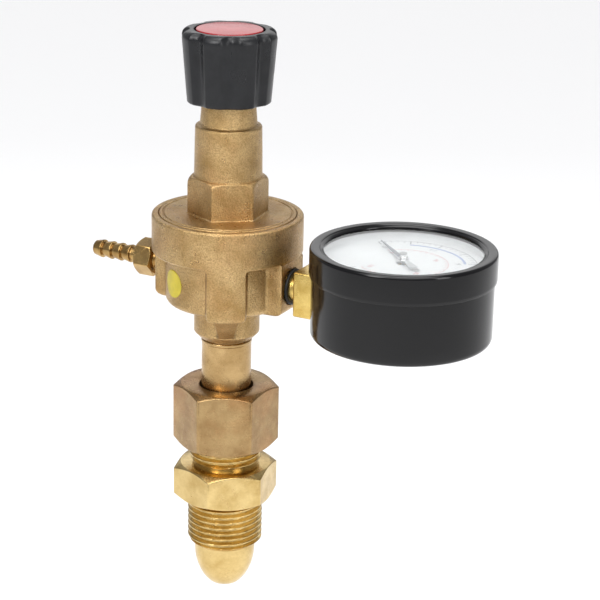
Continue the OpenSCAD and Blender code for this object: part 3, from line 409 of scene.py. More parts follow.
def joined(name: str, parts: Sequence[bpy.types.Object]) -> bpy.types.Object:
    """Several finished objects as one object of separate closed shells."""
    bm = bmesh.new()
    for part in parts:
        bm.from_mesh(part.data)
        mesh = part.data
        bpy.data.objects.remove(part)
        bpy.data.meshes.remove(mesh)
    return from_bmesh(name, bm)


def carved(obj: bpy.types.Object, cutter: bpy.types.Object, union: bool = False) -> bpy.types.Object:
    """Object with another object's volume taken away, or added."""
    mod = obj.modifiers.new("carve", "BOOLEAN")
    mod.operation = "UNION" if union else "DIFFERENCE"
    mod.solver = "EXACT"
    mod.object = cutter
    mesh = settled_mesh(obj)
    obj.modifiers.clear()
    old = obj.data
    obj.data = mesh
    bpy.data.meshes.remove(old)
    bpy.data.objects.remove(cutter)
    return finish_mesh(obj)


def rod(
    name: str, radius: float, low: float, high: float, place: Matrix, edge: float = 0.1 * MM,
) -> bpy.types.Object:
    """Solid round rod with eased ends, along the given place's +Z axis."""
    path = rounded([(0, low, 0), (radius, low, edge), (radius, high, edge), (0, high, 0)], 3)
    return shell(name, path, even_angles(64), place=place)


def along_x(height: float, sign: int = 1) -> Matrix:
    """Place that points a shell's own axis along +X or -X at one height."""
    return Matrix.Translation((0, 0, height)) @ Matrix.Rotation(sign * math.pi / 2, 4, "Y")


def fit_out(
    obj: bpy.types.Object,
    body: Body,
    slot: Slot,
    palette: Palette,
    *nodes: str,
    finish: str = "",
) -> bpy.types.Object:
    """Gives a finished piece the material of its slot or finish, parents it to its body and hides the frame
    nodes that it replaces.

    Args:
        obj: the finished piece.
        body: rigid body that it rides on.
        slot: material slot in the record.
        palette: the finishes.
        nodes: frame nodes that it replaces.
        finish: name of its finish, where that isn't the slot's own.

    Returns:
        The same piece.
    """
    obj.data.materials.clear()
    obj.data.materials.append(palette[finish or slot.value])
    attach(obj, body.value)
    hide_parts(*nodes)
    LOG.info("%s rides on %s, %d faces", obj.name, body.value, len(obj.data.polygons))
    return obj


# ---------------------------------------------------------------------------------------------------------
# Finishes
# ---------------------------------------------------------------------------------------------------------


class NodeBench:
    """Small helper that lays out a material's nodes."""

    def __init__(self, name: str) -> None:
        """Starts an empty material with a Principled shader."""
        self.material = bpy.data.materials.new(name)
        self.material.use_nodes = True
        self.tree = self.material.node_tree
        self.tree.nodes.clear()
        self.output = self.tree.nodes.new("ShaderNodeOutputMaterial")
        self.shader = self.tree.nodes.new("ShaderNodeBsdfPrincipled")
        self.link(self.shader.outputs["BSDF"], self.output.inputs["Surface"])
        self.place = self.tree.nodes.new("ShaderNodeTexCoord").outputs["Object"]

    def link(self, start: bpy.types.NodeSocket, end: bpy.types.NodeSocket) -> None:
        """Joins two sockets."""
        self.tree.links.new(start, end)

    def set(self, **values: float | tuple) -> None:
        """Sets the shader's own sockets, with underscores for spaces."""
        for key, value in values.items():
            self.shader.inputs[key.replace("_", " ")].default_value = value

    def stretch(self, scale: tuple[float, float, float]) -> bpy.types.NodeSocket:
        """Object coordinates scaled by axis."""
        grow = self.tree.nodes.new("ShaderNodeVectorMath")
        grow.operation = "MULTIPLY"
        grow.inputs[1].default_value = scale
        self.link(self.place, grow.inputs[0])
        return grow.outputs[0]

    def noise(
        self,
        scale: float,
        detail: float = 4.0,
        rough: float = 0.55,
        vector: bpy.types.NodeSocket | None = None,
    ) -> bpy.types.NodeSocket:
        """Cloudy noise, as a number about one half."""
        node = self.tree.nodes.new("ShaderNodeTexNoise")
        node.inputs["Scale"].default_value = scale
        node.inputs["Detail"].default_value = detail
        node.inputs["Roughness"].default_value = rough
        self.link(vector or self.place, node.inputs["Vector"])
        return node.outputs["Fac"]

    def spread(
        self, source: bpy.types.NodeSocket, low: float, high: float, out_low: float, out_high: float,
    ) -> bpy.types.NodeSocket:
        """Number stretched from one range to another and held inside it."""
        node = self.tree.nodes.new("ShaderNodeMapRange")
        for key, value in zip(("From Min", "From Max", "To Min", "To Max"), (low, high, out_low, out_high)):
            node.inputs[key].default_value = value
        self.link(source, node.inputs["Value"])
        return node.outputs["Result"]

    def ramp(
        self, source: bpy.types.NodeSocket, stops: Sequence[tuple[float, tuple[float, float, float]]],
    ) -> bpy.types.NodeSocket:
        """Colour picked along a ramp of stops."""
        node = self.tree.nodes.new("ShaderNodeValToRGB")
        ramp = node.color_ramp
        while len(ramp.elements) < len(stops):
            ramp.elements.new(0.5)
        for element, (position, colour) in zip(ramp.elements, stops):
            element.position = position
            element.color = (*colour, 1.0)
        self.link(source, node.inputs["Fac"])
        return node.outputs["Color"]

    def mix(
        self, factor: bpy.types.NodeSocket, a: bpy.types.NodeSocket, b: bpy.types.NodeSocket | tuple,
        mode: str = "MIX",
    ) -> bpy.types.NodeSocket:
        """Blend of a colour with another colour or socket."""
        node = self.tree.nodes.new("ShaderNodeMix")
        node.data_type = "RGBA"
        node.blend_type = mode
        self.link(factor, node.inputs[0])
        self.link(a, node.inputs[6])
        if isinstance(b, tuple):
            node.inputs[7].default_value = (*b, 1.0)
        else:
            self.link(b, node.inputs[7])
        return node.outputs[2]

    def bump(
        self, height: bpy.types.NodeSocket, distance: float, strength: float,
        under: bpy.types.NodeSocket | None = None,
    ) -> bpy.types.NodeSocket:
        """Bumped normal, which may sit on another one."""
        node = self.tree.nodes.new("ShaderNodeBump")
        node.inputs["Distance"].default_value = distance
        node.inputs["Strength"].default_value = strength
        self.link(height, node.inputs["Height"])
        if under is not None:
            self.link(under, node.inputs["Normal"])
        return node.outputs["Normal"]

    def edges(self) -> bpy.types.NodeSocket:
        """Convexity of the surface, above one half on outer edges."""
        return self.tree.nodes.new("ShaderNodeNewGeometry").outputs["Pointiness"]


class Lathe(Enum):
    """Axis that the cutting marks of a turned piece run round."""

    UP = (0.0, 0.0, 1.0)
    ACROSS = (1.0, 0.0, 0.0)
    NONE = (0.0, 0.0, 0.0)


@dataclass(frozen=True)
class Brass:
    """Brass that is forged and blasted, or turned.

    Args:
        name: material's name.
        light: colour of the bright parts.
        deep: colour of the tarnished parts.
        roughness: middle roughness.
        mottle: scale of the colour's clouds.
        grain: strength of the fine grain.
        lathe: direction of turning marks.
        lathe_strength: strength of the turning marks.
        blush: strength of the reddish clouds.
    """

    name: str
    light: tuple[float, float, float]
    deep: tuple[float, float, float]
    roughness: float = 0.35
    mottle: float = 180.0
    grain: float = 0.25
    lathe: Lathe = Lathe.NONE
    lathe_strength: float = 0.0
    blush: float = 0.0

    def build(self) -> bpy.types.Material:
        """Lays out the finish's nodes."""
        bench = NodeBench(self.name)
        clouds = bench.noise(self.mottle, 6.0, 0.62)
        colour = bench.ramp(clouds, [(0.32, self.deep), (0.62, self.light)])
        if self.blush:
            red = bench.spread(bench.noise(self.mottle * 0.45, 3.0, 0.6), 0.48, 0.72, 0.0, self.blush)
            colour = bench.mix(red, colour, (0.50, 0.22, 0.08))
        grit = bench.noise(2400.0, 2.0, 0.7)
        specks = bench.spread(grit, 0.35, 0.6, 0.55 * self.grain, 0.0)
        colour = bench.mix(specks, colour, tuple(c * 0.5 for c in self.deep))
        # Lighter brass colour on sharp convex edges, raised where the surface's pointiness is high.
        edge_lift = bench.spread(bench.edges(), 0.53, 0.6, 0.0, 0.3)
        colour = bench.mix(edge_lift, colour, tuple(min(1.0, c * 1.2) for c in self.light))
        bench.link(colour, bench.shader.inputs["Base Color"])
        patches = bench.noise(self.mottle * 2.2, 5.0, 0.6)
        rough = bench.spread(patches, 0.3, 0.7, self.roughness - 0.08, self.roughness + 0.1)
        bench.link(rough, bench.shader.inputs["Roughness"])
        bench.set(Metallic=1.0)
        normal = bench.bump(grit, 0.00028, self.grain)
        if self.lathe is not Lathe.NONE:
            axis = self.lathe.value
            lines = bench.noise(
                1.0, 3.0, 0.8, bench.stretch(tuple(a * 9000.0 + 25.0 * (a == 0) for a in axis)),
            )
            normal = bench.bump(lines, 0.00003, self.lathe_strength, normal)
        bench.link(normal, bench.shader.inputs["Normal"])
        return bench.material


@dataclass(frozen=True)
class Steel:
    """Machined, drawn or plated steel."""

    name: str
    colour: tuple[float, float, float]
    roughness: float = 0.32

    def build(self) -> bpy.types.Material:
        """Lays out the finish's nodes."""
        bench = NodeBench(self.name)
        tint = tuple(c * 0.72 for c in self.colour)
        colour = bench.ramp(bench.noise(420.0, 5.0, 0.6), [(0.35, tint), (0.65, self.colour)])
        bench.link(colour, bench.shader.inputs["Base Color"])
        rough = bench.spread(bench.noise(900.0, 4.0), 0.3, 0.7, self.roughness - 0.08, self.roughness + 0.12)
        bench.link(rough, bench.shader.inputs["Roughness"])
        bench.set(Metallic=1.0)
        bench.link(bench.bump(bench.noise(3000.0, 2.0), 0.00002, 0.2), bench.shader.inputs["Normal"])
        return bench.material


@dataclass(frozen=True)
class Coating:
    """Paint, enamel, plastic or rubber.

    Args:
        name: material's name.
        colour: main colour.
        roughness: middle roughness.
        texture: strength of the fine surface texture.
        texture_scale: scale of that texture.
        coat: strength of a clear top coat.
        mottle: how far the colour wanders.
        sheen: strength of the plain reflection.
    """

    name: str
    colour: tuple[float, float, float]
    roughness: float
    texture: float = 0.1
    texture_scale: float = 1800.0
    coat: float = 0.0
    mottle: float = 0.12
    sheen: float = 0.5

    def build(self) -> bpy.types.Material:
        """Lays out the finish's nodes."""
        bench = NodeBench(self.name)
        low = tuple(c * (1 - self.mottle) for c in self.colour)
        high = tuple(min(1.0, c * (1 + self.mottle)) for c in self.colour)
        colour = bench.ramp(bench.noise(260.0, 5.0, 0.6), [(0.35, low), (0.65, high)])
        bench.link(colour, bench.shader.inputs["Base Color"])
        smear = bench.noise(140.0, 6.0, 0.65)
        rough = bench.spread(smear, 0.3, 0.7, max(self.roughness - 0.05, 0.02), self.roughness + 0.06)
        bench.link(rough, bench.shader.inputs["Roughness"])
        bench.set(Coat_Weight=self.coat, Coat_Roughness=0.06, Specular_IOR_Level=self.sheen)
        normal = bench.bump(bench.noise(self.texture_scale, 3.0, 0.6), 0.00004, self.texture)
        bench.link(normal, bench.shader.inputs["Normal"])
        return bench.material


@dataclass(frozen=True)
class ClearGlass:
    """Thin clear window with faint smears."""

    name: str = "window_clear"

    def build(self) -> bpy.types.Material:
        """Lays out the finish's nodes."""
        bench = NodeBench(self.name)
        rough = bench.spread(bench.noise(90.0, 6.0, 0.65), 0.4, 0.75, 0.01, 0.07)
        bench.link(rough, bench.shader.inputs["Roughness"])
        bench.set(Base_Color=(0.97, 0.985, 0.98, 1.0), Transmission_Weight=1.0, IOR=1.45)
        return bench.material


# ---------------------------------------------------------------------------------------------------------
# Finishes of this object
# ---------------------------------------------------------------------------------------------------------


FINISHES: dict[str, Brass | Steel | Coating | ClearGlass] = {
    "turned_brass": Brass(
        "turned_yellow_brass", (0.70, 0.52, 0.23), (0.50, 0.34, 0.12), 0.20, 150.0, 0.12, Lathe.UP, 0.7,
    ),
    "nut_brass": Brass(
        "nut_brown_brass", (0.47, 0.32, 0.15), (0.29, 0.17, 0.07), 0.28, 110.0, 0.3, blush=0.5,
    ),
    "stem_brass": Brass(
        "stem_satin_brass", (0.55, 0.37, 0.17), (0.34, 0.21, 0.08), 0.24, 120.0, 0.15, Lathe.UP, 0.6,
    ),
    "forged_brass": Brass(
        "forged_blasted_brass", (0.61, 0.42, 0.20), (0.41, 0.26, 0.10), 0.32, 130.0, 1.0, blush=0.3,
    ),
    "block_brass": Brass("block_yellow_brass", (0.76, 0.56, 0.19), (0.52, 0.34, 0.08), 0.25, 160.0, 0.15),
    "barb_brass": Brass(
        "barb_turned_brass", (0.54, 0.36, 0.14), (0.31, 0.18, 0.06), 0.2, 170.0, 0.12, Lathe.ACROSS, 0.5,
    ),
    "inner_brass": Brass("movement_brass", (0.80, 0.56, 0.20), (0.60, 0.38, 0.10), 0.3, 240.0, 0.1),
    "sintered_bronze": Brass(
        "sintered_bronze_grains", (0.52, 0.34, 0.18), (0.30, 0.18, 0.09), 0.55, 500.0, 1.0,
    ),
    "plain_steel": Steel("plain_steel_worn", (0.60, 0.60, 0.60)),
    "spring_steel": Steel("spring_steel_drawn", (0.46, 0.46, 0.48), 0.3),
    "bright_hub": Steel("bright_plated_hub", (0.86, 0.86, 0.88), 0.12),
    "black_enamel": Coating(
        "case_black_enamel", (0.002, 0.002, 0.0025), 0.14, 0.12, 420.0, 0.0, sheen=0.36,
    ),
    "knob_plastic": Coating(
        "knob_matte_plastic", (0.009, 0.0095, 0.011), 0.30, 0.30, 1500.0, 0.0, 0.25, sheen=0.35,
    ),
    "cap_plastic": Coating("cap_red_plastic", (0.30, 0.010, 0.014), 0.18, 0.08, 600.0, 0.2, sheen=0.4),
    "dial_white": Coating("dial_white_paint", (0.86, 0.87, 0.88), 0.42, 0.05, 1500.0, 0.0, 0.02),
    "pointer_paint": Coating("pointer_blue_black_paint", (0.030, 0.045, 0.085), 0.3, 0.08),
    "pointer_tail": Coating("pointer_tail_grey_paint", (0.50, 0.52, 0.53), 0.35, 0.1, 900.0),
    "scale_ink": Coating("scale_grey_ink", (0.20, 0.21, 0.23), 0.5, 0.05),
    "scale_red_ink": Coating("scale_red_ink", (0.62, 0.20, 0.20), 0.5, 0.05),
    "scale_blue_ink": Coating("scale_blue_ink", (0.16, 0.26, 0.55), 0.5, 0.05),
    "yellow_mark": Coating("dot_yellow_paint", (0.52, 0.42, 0.02), 0.42, 0.3, 900.0),
    "white_nylon": Coating("white_nylon_moulded", (0.80, 0.79, 0.75), 0.38, 0.15),
    # Black rubber of the seal rings, whose black is partly painted shade for the dark mouths of the ports.
    "black_rubber": Coating("black_rubber_with_port_shade", (0.010, 0.010, 0.010), 0.5, 0.4, sheen=0.3),
    "window_glass": ClearGlass(),
}


def build_palette() -> Palette:
    """Builds every finish once, under the name of its material slot or print."""
    return {name: recipe.build() for name, recipe in FINISHES.items()}


def dress_frame(palette: Palette) -> None:
    """Gives each of the frame's own nodes the finish of its slot."""
    for part in frame["record"]["subparts"]:
        node = frame["nodes"].get(part["node"])
        if node is None or part["material_slot"] not in palette:
            continue
        node.data.materials.clear()
        node.data.materials.append(palette[part["material_slot"]])
    LOG.info("frame nodes dressed")


# ---------------------------------------------------------------------------------------------------------
# Cylinder adapter and union
# ---------------------------------------------------------------------------------------------------------


@dataclass
class CylinderAdapter:
    """Bullnose adapter: nose, cylinder thread, hexagon and union thread, bored through."""

    pitch: float = 1.814 * MM
    depth: float = 1.162 * MM
    union_crest: float = 10.9 * MM
    thread_length: float = 15.2 * MM
    hex_height: float = 11.0 * MM
    hex_flat: float = 14.0 * MM
    hex_turn: float = math.radians(10)
    nose_tip: float = 3.65 * MM
    nose_bulge: float = 2.5
    nose_round: float = 0.75
    nose_rows: int = 30
    nut_gap: float = 6.5 * MM
    bore: float = 2.0 * MM
    rows_per_pitch: int = 18
    extent: Extent = field(default_factory=lambda: Extent.of("bullnose_adapter"))

    def __post_init__(self) -> None:
        """Works out the levels from the frame."""
        mount = next(m for m in frame["record"]["mounts"] if m["name"] == "cylinder_thread")
        self.crest = mount["dims"]["r_mm"] * MM
        self.tip = self.extent.low.z
        self.top = self.extent.high.z
        self.hex_top = Extent.of("union_nut").low.z - self.nut_gap
        self.hex_z = self.hex_top - self.hex_height
        self.nose_top = self.hex_z - self.thread_length
        self.root = self.crest - self.depth
        self.lower = Helix(self.crest, self.depth, self.pitch, 0.0)
        self.upper = Helix(self.union_crest, self.depth, self.pitch, self.top)
        self.hexagon = Hexagon(self.hex_flat, self.hex_turn)

    def shape(self, r: float, z: float, angle: float) -> float:
        """Radius of the adapter where the outline has radius r."""
        if r <= self.bore * 1.2:
            return r
        if z < self.nose_top - 0.1 * MM:
            return r
        if z < self.hex_z - 1e-7:
            fade = smooth_step(self.nose_top, self.nose_top + 0.6 * MM, z)
            fade *= 1 - smooth_step(self.hex_z - 1.5 * MM, self.hex_z - 0.7 * MM, z)
            thread = self.root + (self.lower.radius(z, angle) - self.root) * fade
            return min(r, thread)
        if z <= self.hex_top + 1e-7:
            return soft_min(r, self.hexagon.radius(angle), 0.22 * MM)
        union_root = self.union_crest - self.depth
        fade = smooth_step(self.hex_top + 0.9 * MM, self.hex_top + 1.6 * MM, z)
        thread = union_root + (self.upper.radius(z, angle) - union_root) * fade
        return min(r, thread)

    def nose(self) -> Path:
        """Outline of the bull nose, from the bore's mouth to the foot of the thread."""
        shoulder = self.root - 0.9 * MM
        rise = self.nose_top - self.tip
        curve = []
        for i in range(1, self.nose_rows + 1):
            t = 0.97 * i / self.nose_rows
            swell = (1 - (1 - t) ** self.nose_bulge) ** self.nose_round
            curve.append((self.nose_tip + (shoulder - self.nose_tip) * swell, self.tip + rise * t))
        start = rounded(
            [
                (self.bore, self.tip + 0.5 * MM, 0), (self.bore + 0.5 * MM, self.tip, 0.1 * MM),
                (self.nose_tip, self.tip, 0.3 * MM), curve[0] + (0,),
            ]
        )
        return start[:-1] + curve

    def build(self, palette: Palette) -> None:
        """Makes the adapter."""
        step = self.pitch / self.rows_per_pitch
        lower = dense(
            [
                (self.root - 0.9 * MM, self.nose_top - 0.3 * MM), (self.root - 0.3 * MM, self.nose_top),
                (self.crest, self.nose_top + 1.3 * MM), (self.crest, self.hex_z - 1.0 * MM),
                (self.root, self.hex_z - 0.6 * MM), (self.root, self.hex_z - 1e-6),
            ],
            step,
        )
        nut = self.hexagon.turned_rows(self.hex_z, self.hex_top, 0.35 * MM, 0.1 * MM)
        union_root = self.union_crest - self.depth
        upper = dense(
            [
                (union_root - 0.2 * MM, self.hex_top + 1e-6),
                (union_root - 0.2 * MM, self.hex_top + 0.9 * MM),
                (self.union_crest, self.hex_top + 1.8 * MM), (self.union_crest, self.top - 1.2 * MM),
                (union_root - 0.4 * MM, self.top),
            ],
            step,
        )
        path = self.nose() + lower + nut + upper + [(self.bore, self.top)]
        obj = shell("cylinder_adapter", path, self.hexagon.angles(120), self.shape)
        fit_out(obj, Body.ADAPTER, Slot.TURNED, palette, "bullnose_adapter")


@dataclass
class UnionNut:
    """Hexagonal union nut with a plain bore just clear of the adapter's crests."""

    flat: float = 14.0 * MM
    turn: float = math.radians(-3.2)
    hole: float = 8.15 * MM
    bore: float = 10.96 * MM
    web: float = 3.5 * MM
    extent: Extent = field(default_factory=lambda: Extent.of("union_nut"))

    def build(self, palette: Palette) -> None:
        """Makes the nut."""
        low, high = self.extent.low.z, self.extent.high.z
        hexagon = Hexagon(self.flat, self.turn, 0.5 * MM)

        def shape(r: float, z: float, angle: float) -> float:
            """Outer rows follow the hexagon."""
            return r if r < self.flat - 0.6 * MM else soft_min(r, hexagon.radius(angle), 0.35 * MM)

        outer = hexagon.turned_rows(low, high, 0.4 * MM, 0.1 * MM)
        inner = rounded(
            [
                (self.hole + 0.9 * MM, high, 0), (self.hole, high - 0.5 * MM, 0.2 * MM),
                (self.hole, high - self.web, 0.1 * MM), (self.bore, high - self.web, 0.1 * MM),
                (self.bore, low + 0.8 * MM, 0.2 * MM), (self.bore + 0.8 * MM, low, 0),
            ]
        )
        obj = shell("union_nut_forging", outer + inner, hexagon.angles(132), shape)
        fit_out(obj, Body.NUT, Slot.NUT, palette, "union_nut")


@dataclass
class InletStem:
    """Turned stem with its collar, a bead and a groove under the body."""

    radius: float = 7.5 * MM
    collar_height: float = 3.0 * MM
    spigot: float = 6.5 * MM
    spigot_height: float = 9.0 * MM
    bore: float = 3.0 * MM
    filter_bore: float = 4.5 * MM
    bead: float = 0.15 * MM
    extent: Extent = field(default_factory=lambda: Extent.of("inlet_stem"))

    def build(self, palette: Palette) -> None:
        """Makes the stem."""
        low, high = self.extent.low.z, self.extent.high.z
        collar = self.extent.size.x / 2
        boss = high - self.spigot_height
        r = self.radius
        soft = 0.12 * MM
        corners = [
            (self.filter_bore, low, 0), (collar, low, 0.4 * MM),
            (collar, low + self.collar_height, 0.2 * MM), (r, low + self.collar_height, soft),
            (r, boss - 1.6 * MM, soft), (r + self.bead, boss - 1.35 * MM, soft),
            (r + self.bead, boss - 0.75 * MM, soft), (r - 0.05 * MM, boss - 0.5 * MM, soft),
            (r - 0.4 * MM, boss - 0.45 * MM, soft), (r - 0.4 * MM, boss, soft), (self.spigot, boss, soft),
            (self.spigot, high, 0.6 * MM), (self.bore, high, 0.1 * MM), (self.bore, low + 3 * MM, 0.1 * MM),
            (self.filter_bore, low + 3 * MM, 0.1 * MM), (self.filter_bore, low + 0.2 * MM, 0),
        ]
        obj = shell("inlet_stem_turned", rounded(corners), even_angles(128))
        fit_out(obj, Body.REGULATOR, Slot.STEM, palette, "inlet_stem")


# ---------------------------------------------------------------------------------------------------------
# Body and bonnet
# ---------------------------------------------------------------------------------------------------------


@dataclass
class RegulatorBody:
    """Forged body: inlet boss, drum with two port bosses and two pads, clamping ring."""

    drum: float = 18.35 * MM
    inlet: float = 9.85 * MM
    inlet_height: float = 11.3 * MM
    ring_height: float = 11.4 * MM
    port_half: float = 7.0 * MM
    port_mouth: float = 0.7 * MM
    port_depth: float = 11.5 * MM
    port_clear: float = 26.0 * MM
    gauge_bore: float = 4.96 * MM
    outlet_bore: float = 4.06 * MM
    boss_fillet: float = 1.6 * MM
    pad_fillet: float = 1.4 * MM
    pad_flare: float = 1.3 * MM
    pad_reach: float = 0.72
    dot_gap: float = 0.01 * MM
    dot_thickness: float = 0.19 * MM
    pad_half: float = 5.85 * MM
    pad_turn: float = math.radians(-62)
    recess: float = 20.5 * MM
    recess_depth: float = 7.1 * MM
    chamber: float = 15.0 * MM
    chamber_depth: float = 5.0 * MM
    seat_bore: float = 6.06 * MM
    seat_depth: float = 6.9 * MM
    poppet_bore: float = 5.0 * MM
    spigot_bore: float = 6.56 * MM
    spigot_depth: float = 9.0 * MM
    fillet: float = 2.0 * MM
    extent: Extent = field(default_factory=lambda: Extent.of("regulator_body"))

    def __post_init__(self) -> None:
        """Works out the levels from the frame."""
        self.ring = self.extent.size.y / 2
        self.low = self.extent.low.z
        self.top = self.extent.high.z
        self.drum_z = self.low + self.inlet_height
        self.ring_z = self.top - self.ring_height
        self.gauge_seal = Extent.of("gauge_washer")
        self.outlet_seal = Extent.of("barb_washer")

    def boss(self, angle: float, centre: float, reach: float, half: float, flat: bool) -> float:
        """Radius of a boss or pad in one direction, or nought behind it.

        Args:
            angle: direction from the main axis.
            centre: direction that the boss faces.
            reach: distance to its face.
            half: half of its width.
            flat: whether the face is flat, or round like the ring.

        Returns:
            The boss's own radius.
        """
        phi = (angle - centre + math.pi) % TAU - math.pi
        if abs(phi) > math.radians(60):
            return 0.0
        face = reach / math.cos(phi) if flat else reach
        side = half / max(abs(math.sin(phi)), 1e-4)
        return soft_min(face, side, 1.5 * MM)

    def outline(self, height: float, angle: float) -> float:
        """Radius of the drum with its bosses and pads at one height and in one direction."""
        flare = self.pad_flare
        near_ring = min(1.0, max(0.0, 1 - (self.ring_z - height) / flare))
        near_foot = min(1.0, max(0.0, 1 - (height - self.drum_z) / flare))
        spread = 0.8 * flare * (
            1 - math.sqrt(1 - near_ring**2)
        ) - 0.8 * flare * (1 - math.sqrt(1 - near_foot**2))
        radius = self.drum
        for centre, reach in ((0.0, self.gauge_seal.low.x), (math.pi, -self.outlet_seal.high.x)):
            radius = soft_max(radius, self.boss(angle, centre, reach, self.port_half, True), self.boss_fillet)
        for centre in (self.pad_turn, self.pad_turn + math.pi):
            radius = soft_max(
                radius, self.boss(angle, centre, self.ring, self.pad_half + spread, False), self.pad_fillet,
            )
        return radius

    def pad_share(self, angle: float) -> float:
        """How far a direction lies within one of the two pads, from 0 to 1."""
        phi = (angle - self.pad_turn + math.pi / 2) % math.pi - math.pi / 2
        return 1 - smooth_step(self.pad_half * 0.8, self.pad_half * 1.15, abs(math.sin(phi)) * self.ring)

    def shape(self, r: float, z: float, angle: float) -> float:
        """Radius of the body where the outline has radius r."""
        if not (self.drum_z - 1e-7 <= z <= self.ring_z + 0.45 * MM) or r < self.inlet - 1e-7:
            return r
        here = self.outline(z, angle)
        if z >= self.ring_z - 1e-7:
            rim = self.ring - 0.4 * MM
            across = r if r >= rim - 0.1 * MM else here + (r - self.drum) * max(
                rim - here, 0.0,
            ) / (rim - self.drum)
            return max(across, min(here, self.ring))
        share = (r - self.inlet) / (self.drum - self.inlet)
        share = 1 - (1 - share) * (1 - self.pad_reach * self.pad_share(angle))
        return self.inlet + share * (here - self.inlet)

    def angles(self) -> list[float]:
        """Directions, packed close where the bosses have their sides."""
        sides = [math.radians(a) for a in (20, -20, 160, 200)]
        pads = [self.pad_turn + turn + math.radians(a) for turn in (0, math.pi) for a in (16.8, -16.8)]
        return merged_angles(even_angles(200), angles_near(sides + pads, math.radians(5.5), 30))

    def path(self) -> Path:
        """Outline from the inlet bore round the outside and back down the chambers."""
        boss_top = self.low + self.spigot_depth
        clamp = self.top - self.recess_depth
        floor = clamp - self.chamber_depth
        soft = 0.2 * MM
        outside = rounded(
            [
                (self.spigot_bore + 0.4 * MM, self.low, 0), (self.inlet - 1.9 * MM, self.low, 0.4 * MM),
                (self.inlet, self.low + 2.0 * MM, 0.7 * MM), (self.inlet, self.drum_z, 0.0),
            ],
            6,
        )
        outside += dense(
            [(self.inlet + 0.02 * MM, self.drum_z), (self.drum - self.fillet, self.drum_z)], 1.2 * MM,
        )
        for i in range(1, 9):
            a = math.radians(-90 + 90 * i / 8)
            outside.append(
                (
                    self.drum - self.fillet + self.fillet * math.cos(a),
                    self.drum_z + self.fillet + self.fillet * math.sin(a),
                )
            )
        outside += dense(
            [(self.drum, self.drum_z + self.fillet), (self.drum, self.ring_z - 1.4 * MM)], 0.9 * MM,
        )[1:]
        outside += dense(
            [(self.drum, self.ring_z - 1.4 * MM), (self.drum, self.ring_z - 0.1 * MM)], 0.16 * MM,
        )[1:]
        outside += [(self.drum, self.ring_z - 0.02 * MM), (self.drum + 0.02 * MM, self.ring_z)]
        outside += dense([(self.drum + 0.3 * MM, self.ring_z), (self.ring - 0.6 * MM, self.ring_z)], 0.8 * MM)
        rim = rounded(
            [
                (self.ring - 0.4 * MM, self.ring_z, 0), (self.ring, self.ring_z + 0.45 * MM, 0.25 * MM),
                (self.ring, self.top, 1.3 * MM), (self.recess, self.top, 0.3 * MM),
                (self.recess, clamp, soft), (self.chamber, clamp, soft), (self.chamber, floor, soft),
                (self.seat_bore, floor, soft), (self.seat_bore, floor - self.seat_depth, soft),
                (self.poppet_bore, floor - self.seat_depth, soft), (self.poppet_bore, boss_top, soft),
                (self.spigot_bore, boss_top, soft), (self.spigot_bore, self.low + 0.4 * MM, 0),
            ],
            7,
        )
        return outside + rim

    def build(self, palette: Palette) -> None:
        """Makes the body and bores its two ports."""
        obj = shell("body_forging", self.path(), self.angles(), self.shape)
        for sign, seal, bore in (
            (1, self.gauge_seal, self.gauge_bore), (-1, self.outlet_seal, self.outlet_bore),
        ):
            face = min(abs(seal.low.x), abs(seal.high.x))
            mouth, depth, clear = self.port_mouth, self.port_depth, self.port_clear
            corners = [
                (0, depth, 0), (bore, depth, 0.1 * MM), (bore, face - mouth, 0),
                (bore + mouth, face, 0), (bore + mouth, clear, 0.1 * MM), (0, clear, 0),
            ]
            cutter = shell(
                "port_cutter", rounded(corners, 3), even_angles(96), place=along_x(seal.centre.z, sign),
            )
            obj = carved(obj, cutter)
        fit_out(obj, Body.REGULATOR, Slot.FORGED, palette, "regulator_body")
        self.mark((self.drum_z + self.ring_z) / 2, palette)

    def mark(self, height: float, palette: Palette) -> None:
        """Makes the painted dot, wrapped on the drum beside the outlet boss."""
        extent = Extent.of("marking_dot")
        centre = math.atan2(extent.centre.y, extent.centre.x)
        radius = extent.size.z / 2
        inner, outer = self.drum + self.dot_gap, self.drum + self.dot_thickness
        bm = bmesh.new()
        rings, spokes = 10, 64

        def wrapped(share: float, turn: float, depth: float) -> bmesh.types.BMVert:
            """Point of the dot, laid on the drum."""
            across = radius * share * math.cos(turn)
            a = centre + across / self.drum
            return bm.verts.new(
                (depth * math.cos(a), depth * math.sin(a), height + radius * share * math.sin(turn))
            )

        layers = []
        for depth, edge in ((inner, 1.0), (outer, 0.965)):
            layer = [[wrapped(0, 0, depth)]]
            layer += [
                [wrapped(edge * k / rings, TAU * j / spokes, depth) for j in range(spokes)]
                for k in range(1, rings + 1)
            ]
            layers.append(layer)
        for layer in layers:
            for low, high in zip(layer, layer[1:]):
                for j in range(spokes):
                    k = (j + 1) % spokes
                    bm.faces.new(
                        (low[0], high[j], high[k]) if len(low) == 1 else (low[j], high[j], high[k], low[k])
                    )
        for j in range(spokes):
            k = (j + 1) % spokes
            bm.faces.new((layers[0][-1][j], layers[0][-1][k], layers[1][-1][k], layers[1][-1][j]))
        bmesh.ops.recalc_face_normals(bm, faces=bm.faces)
        obj = from_bmesh("painted_dot", bm)
        fit_out(obj, Body.REGULATOR, Slot.MARK, palette, "marking_dot")


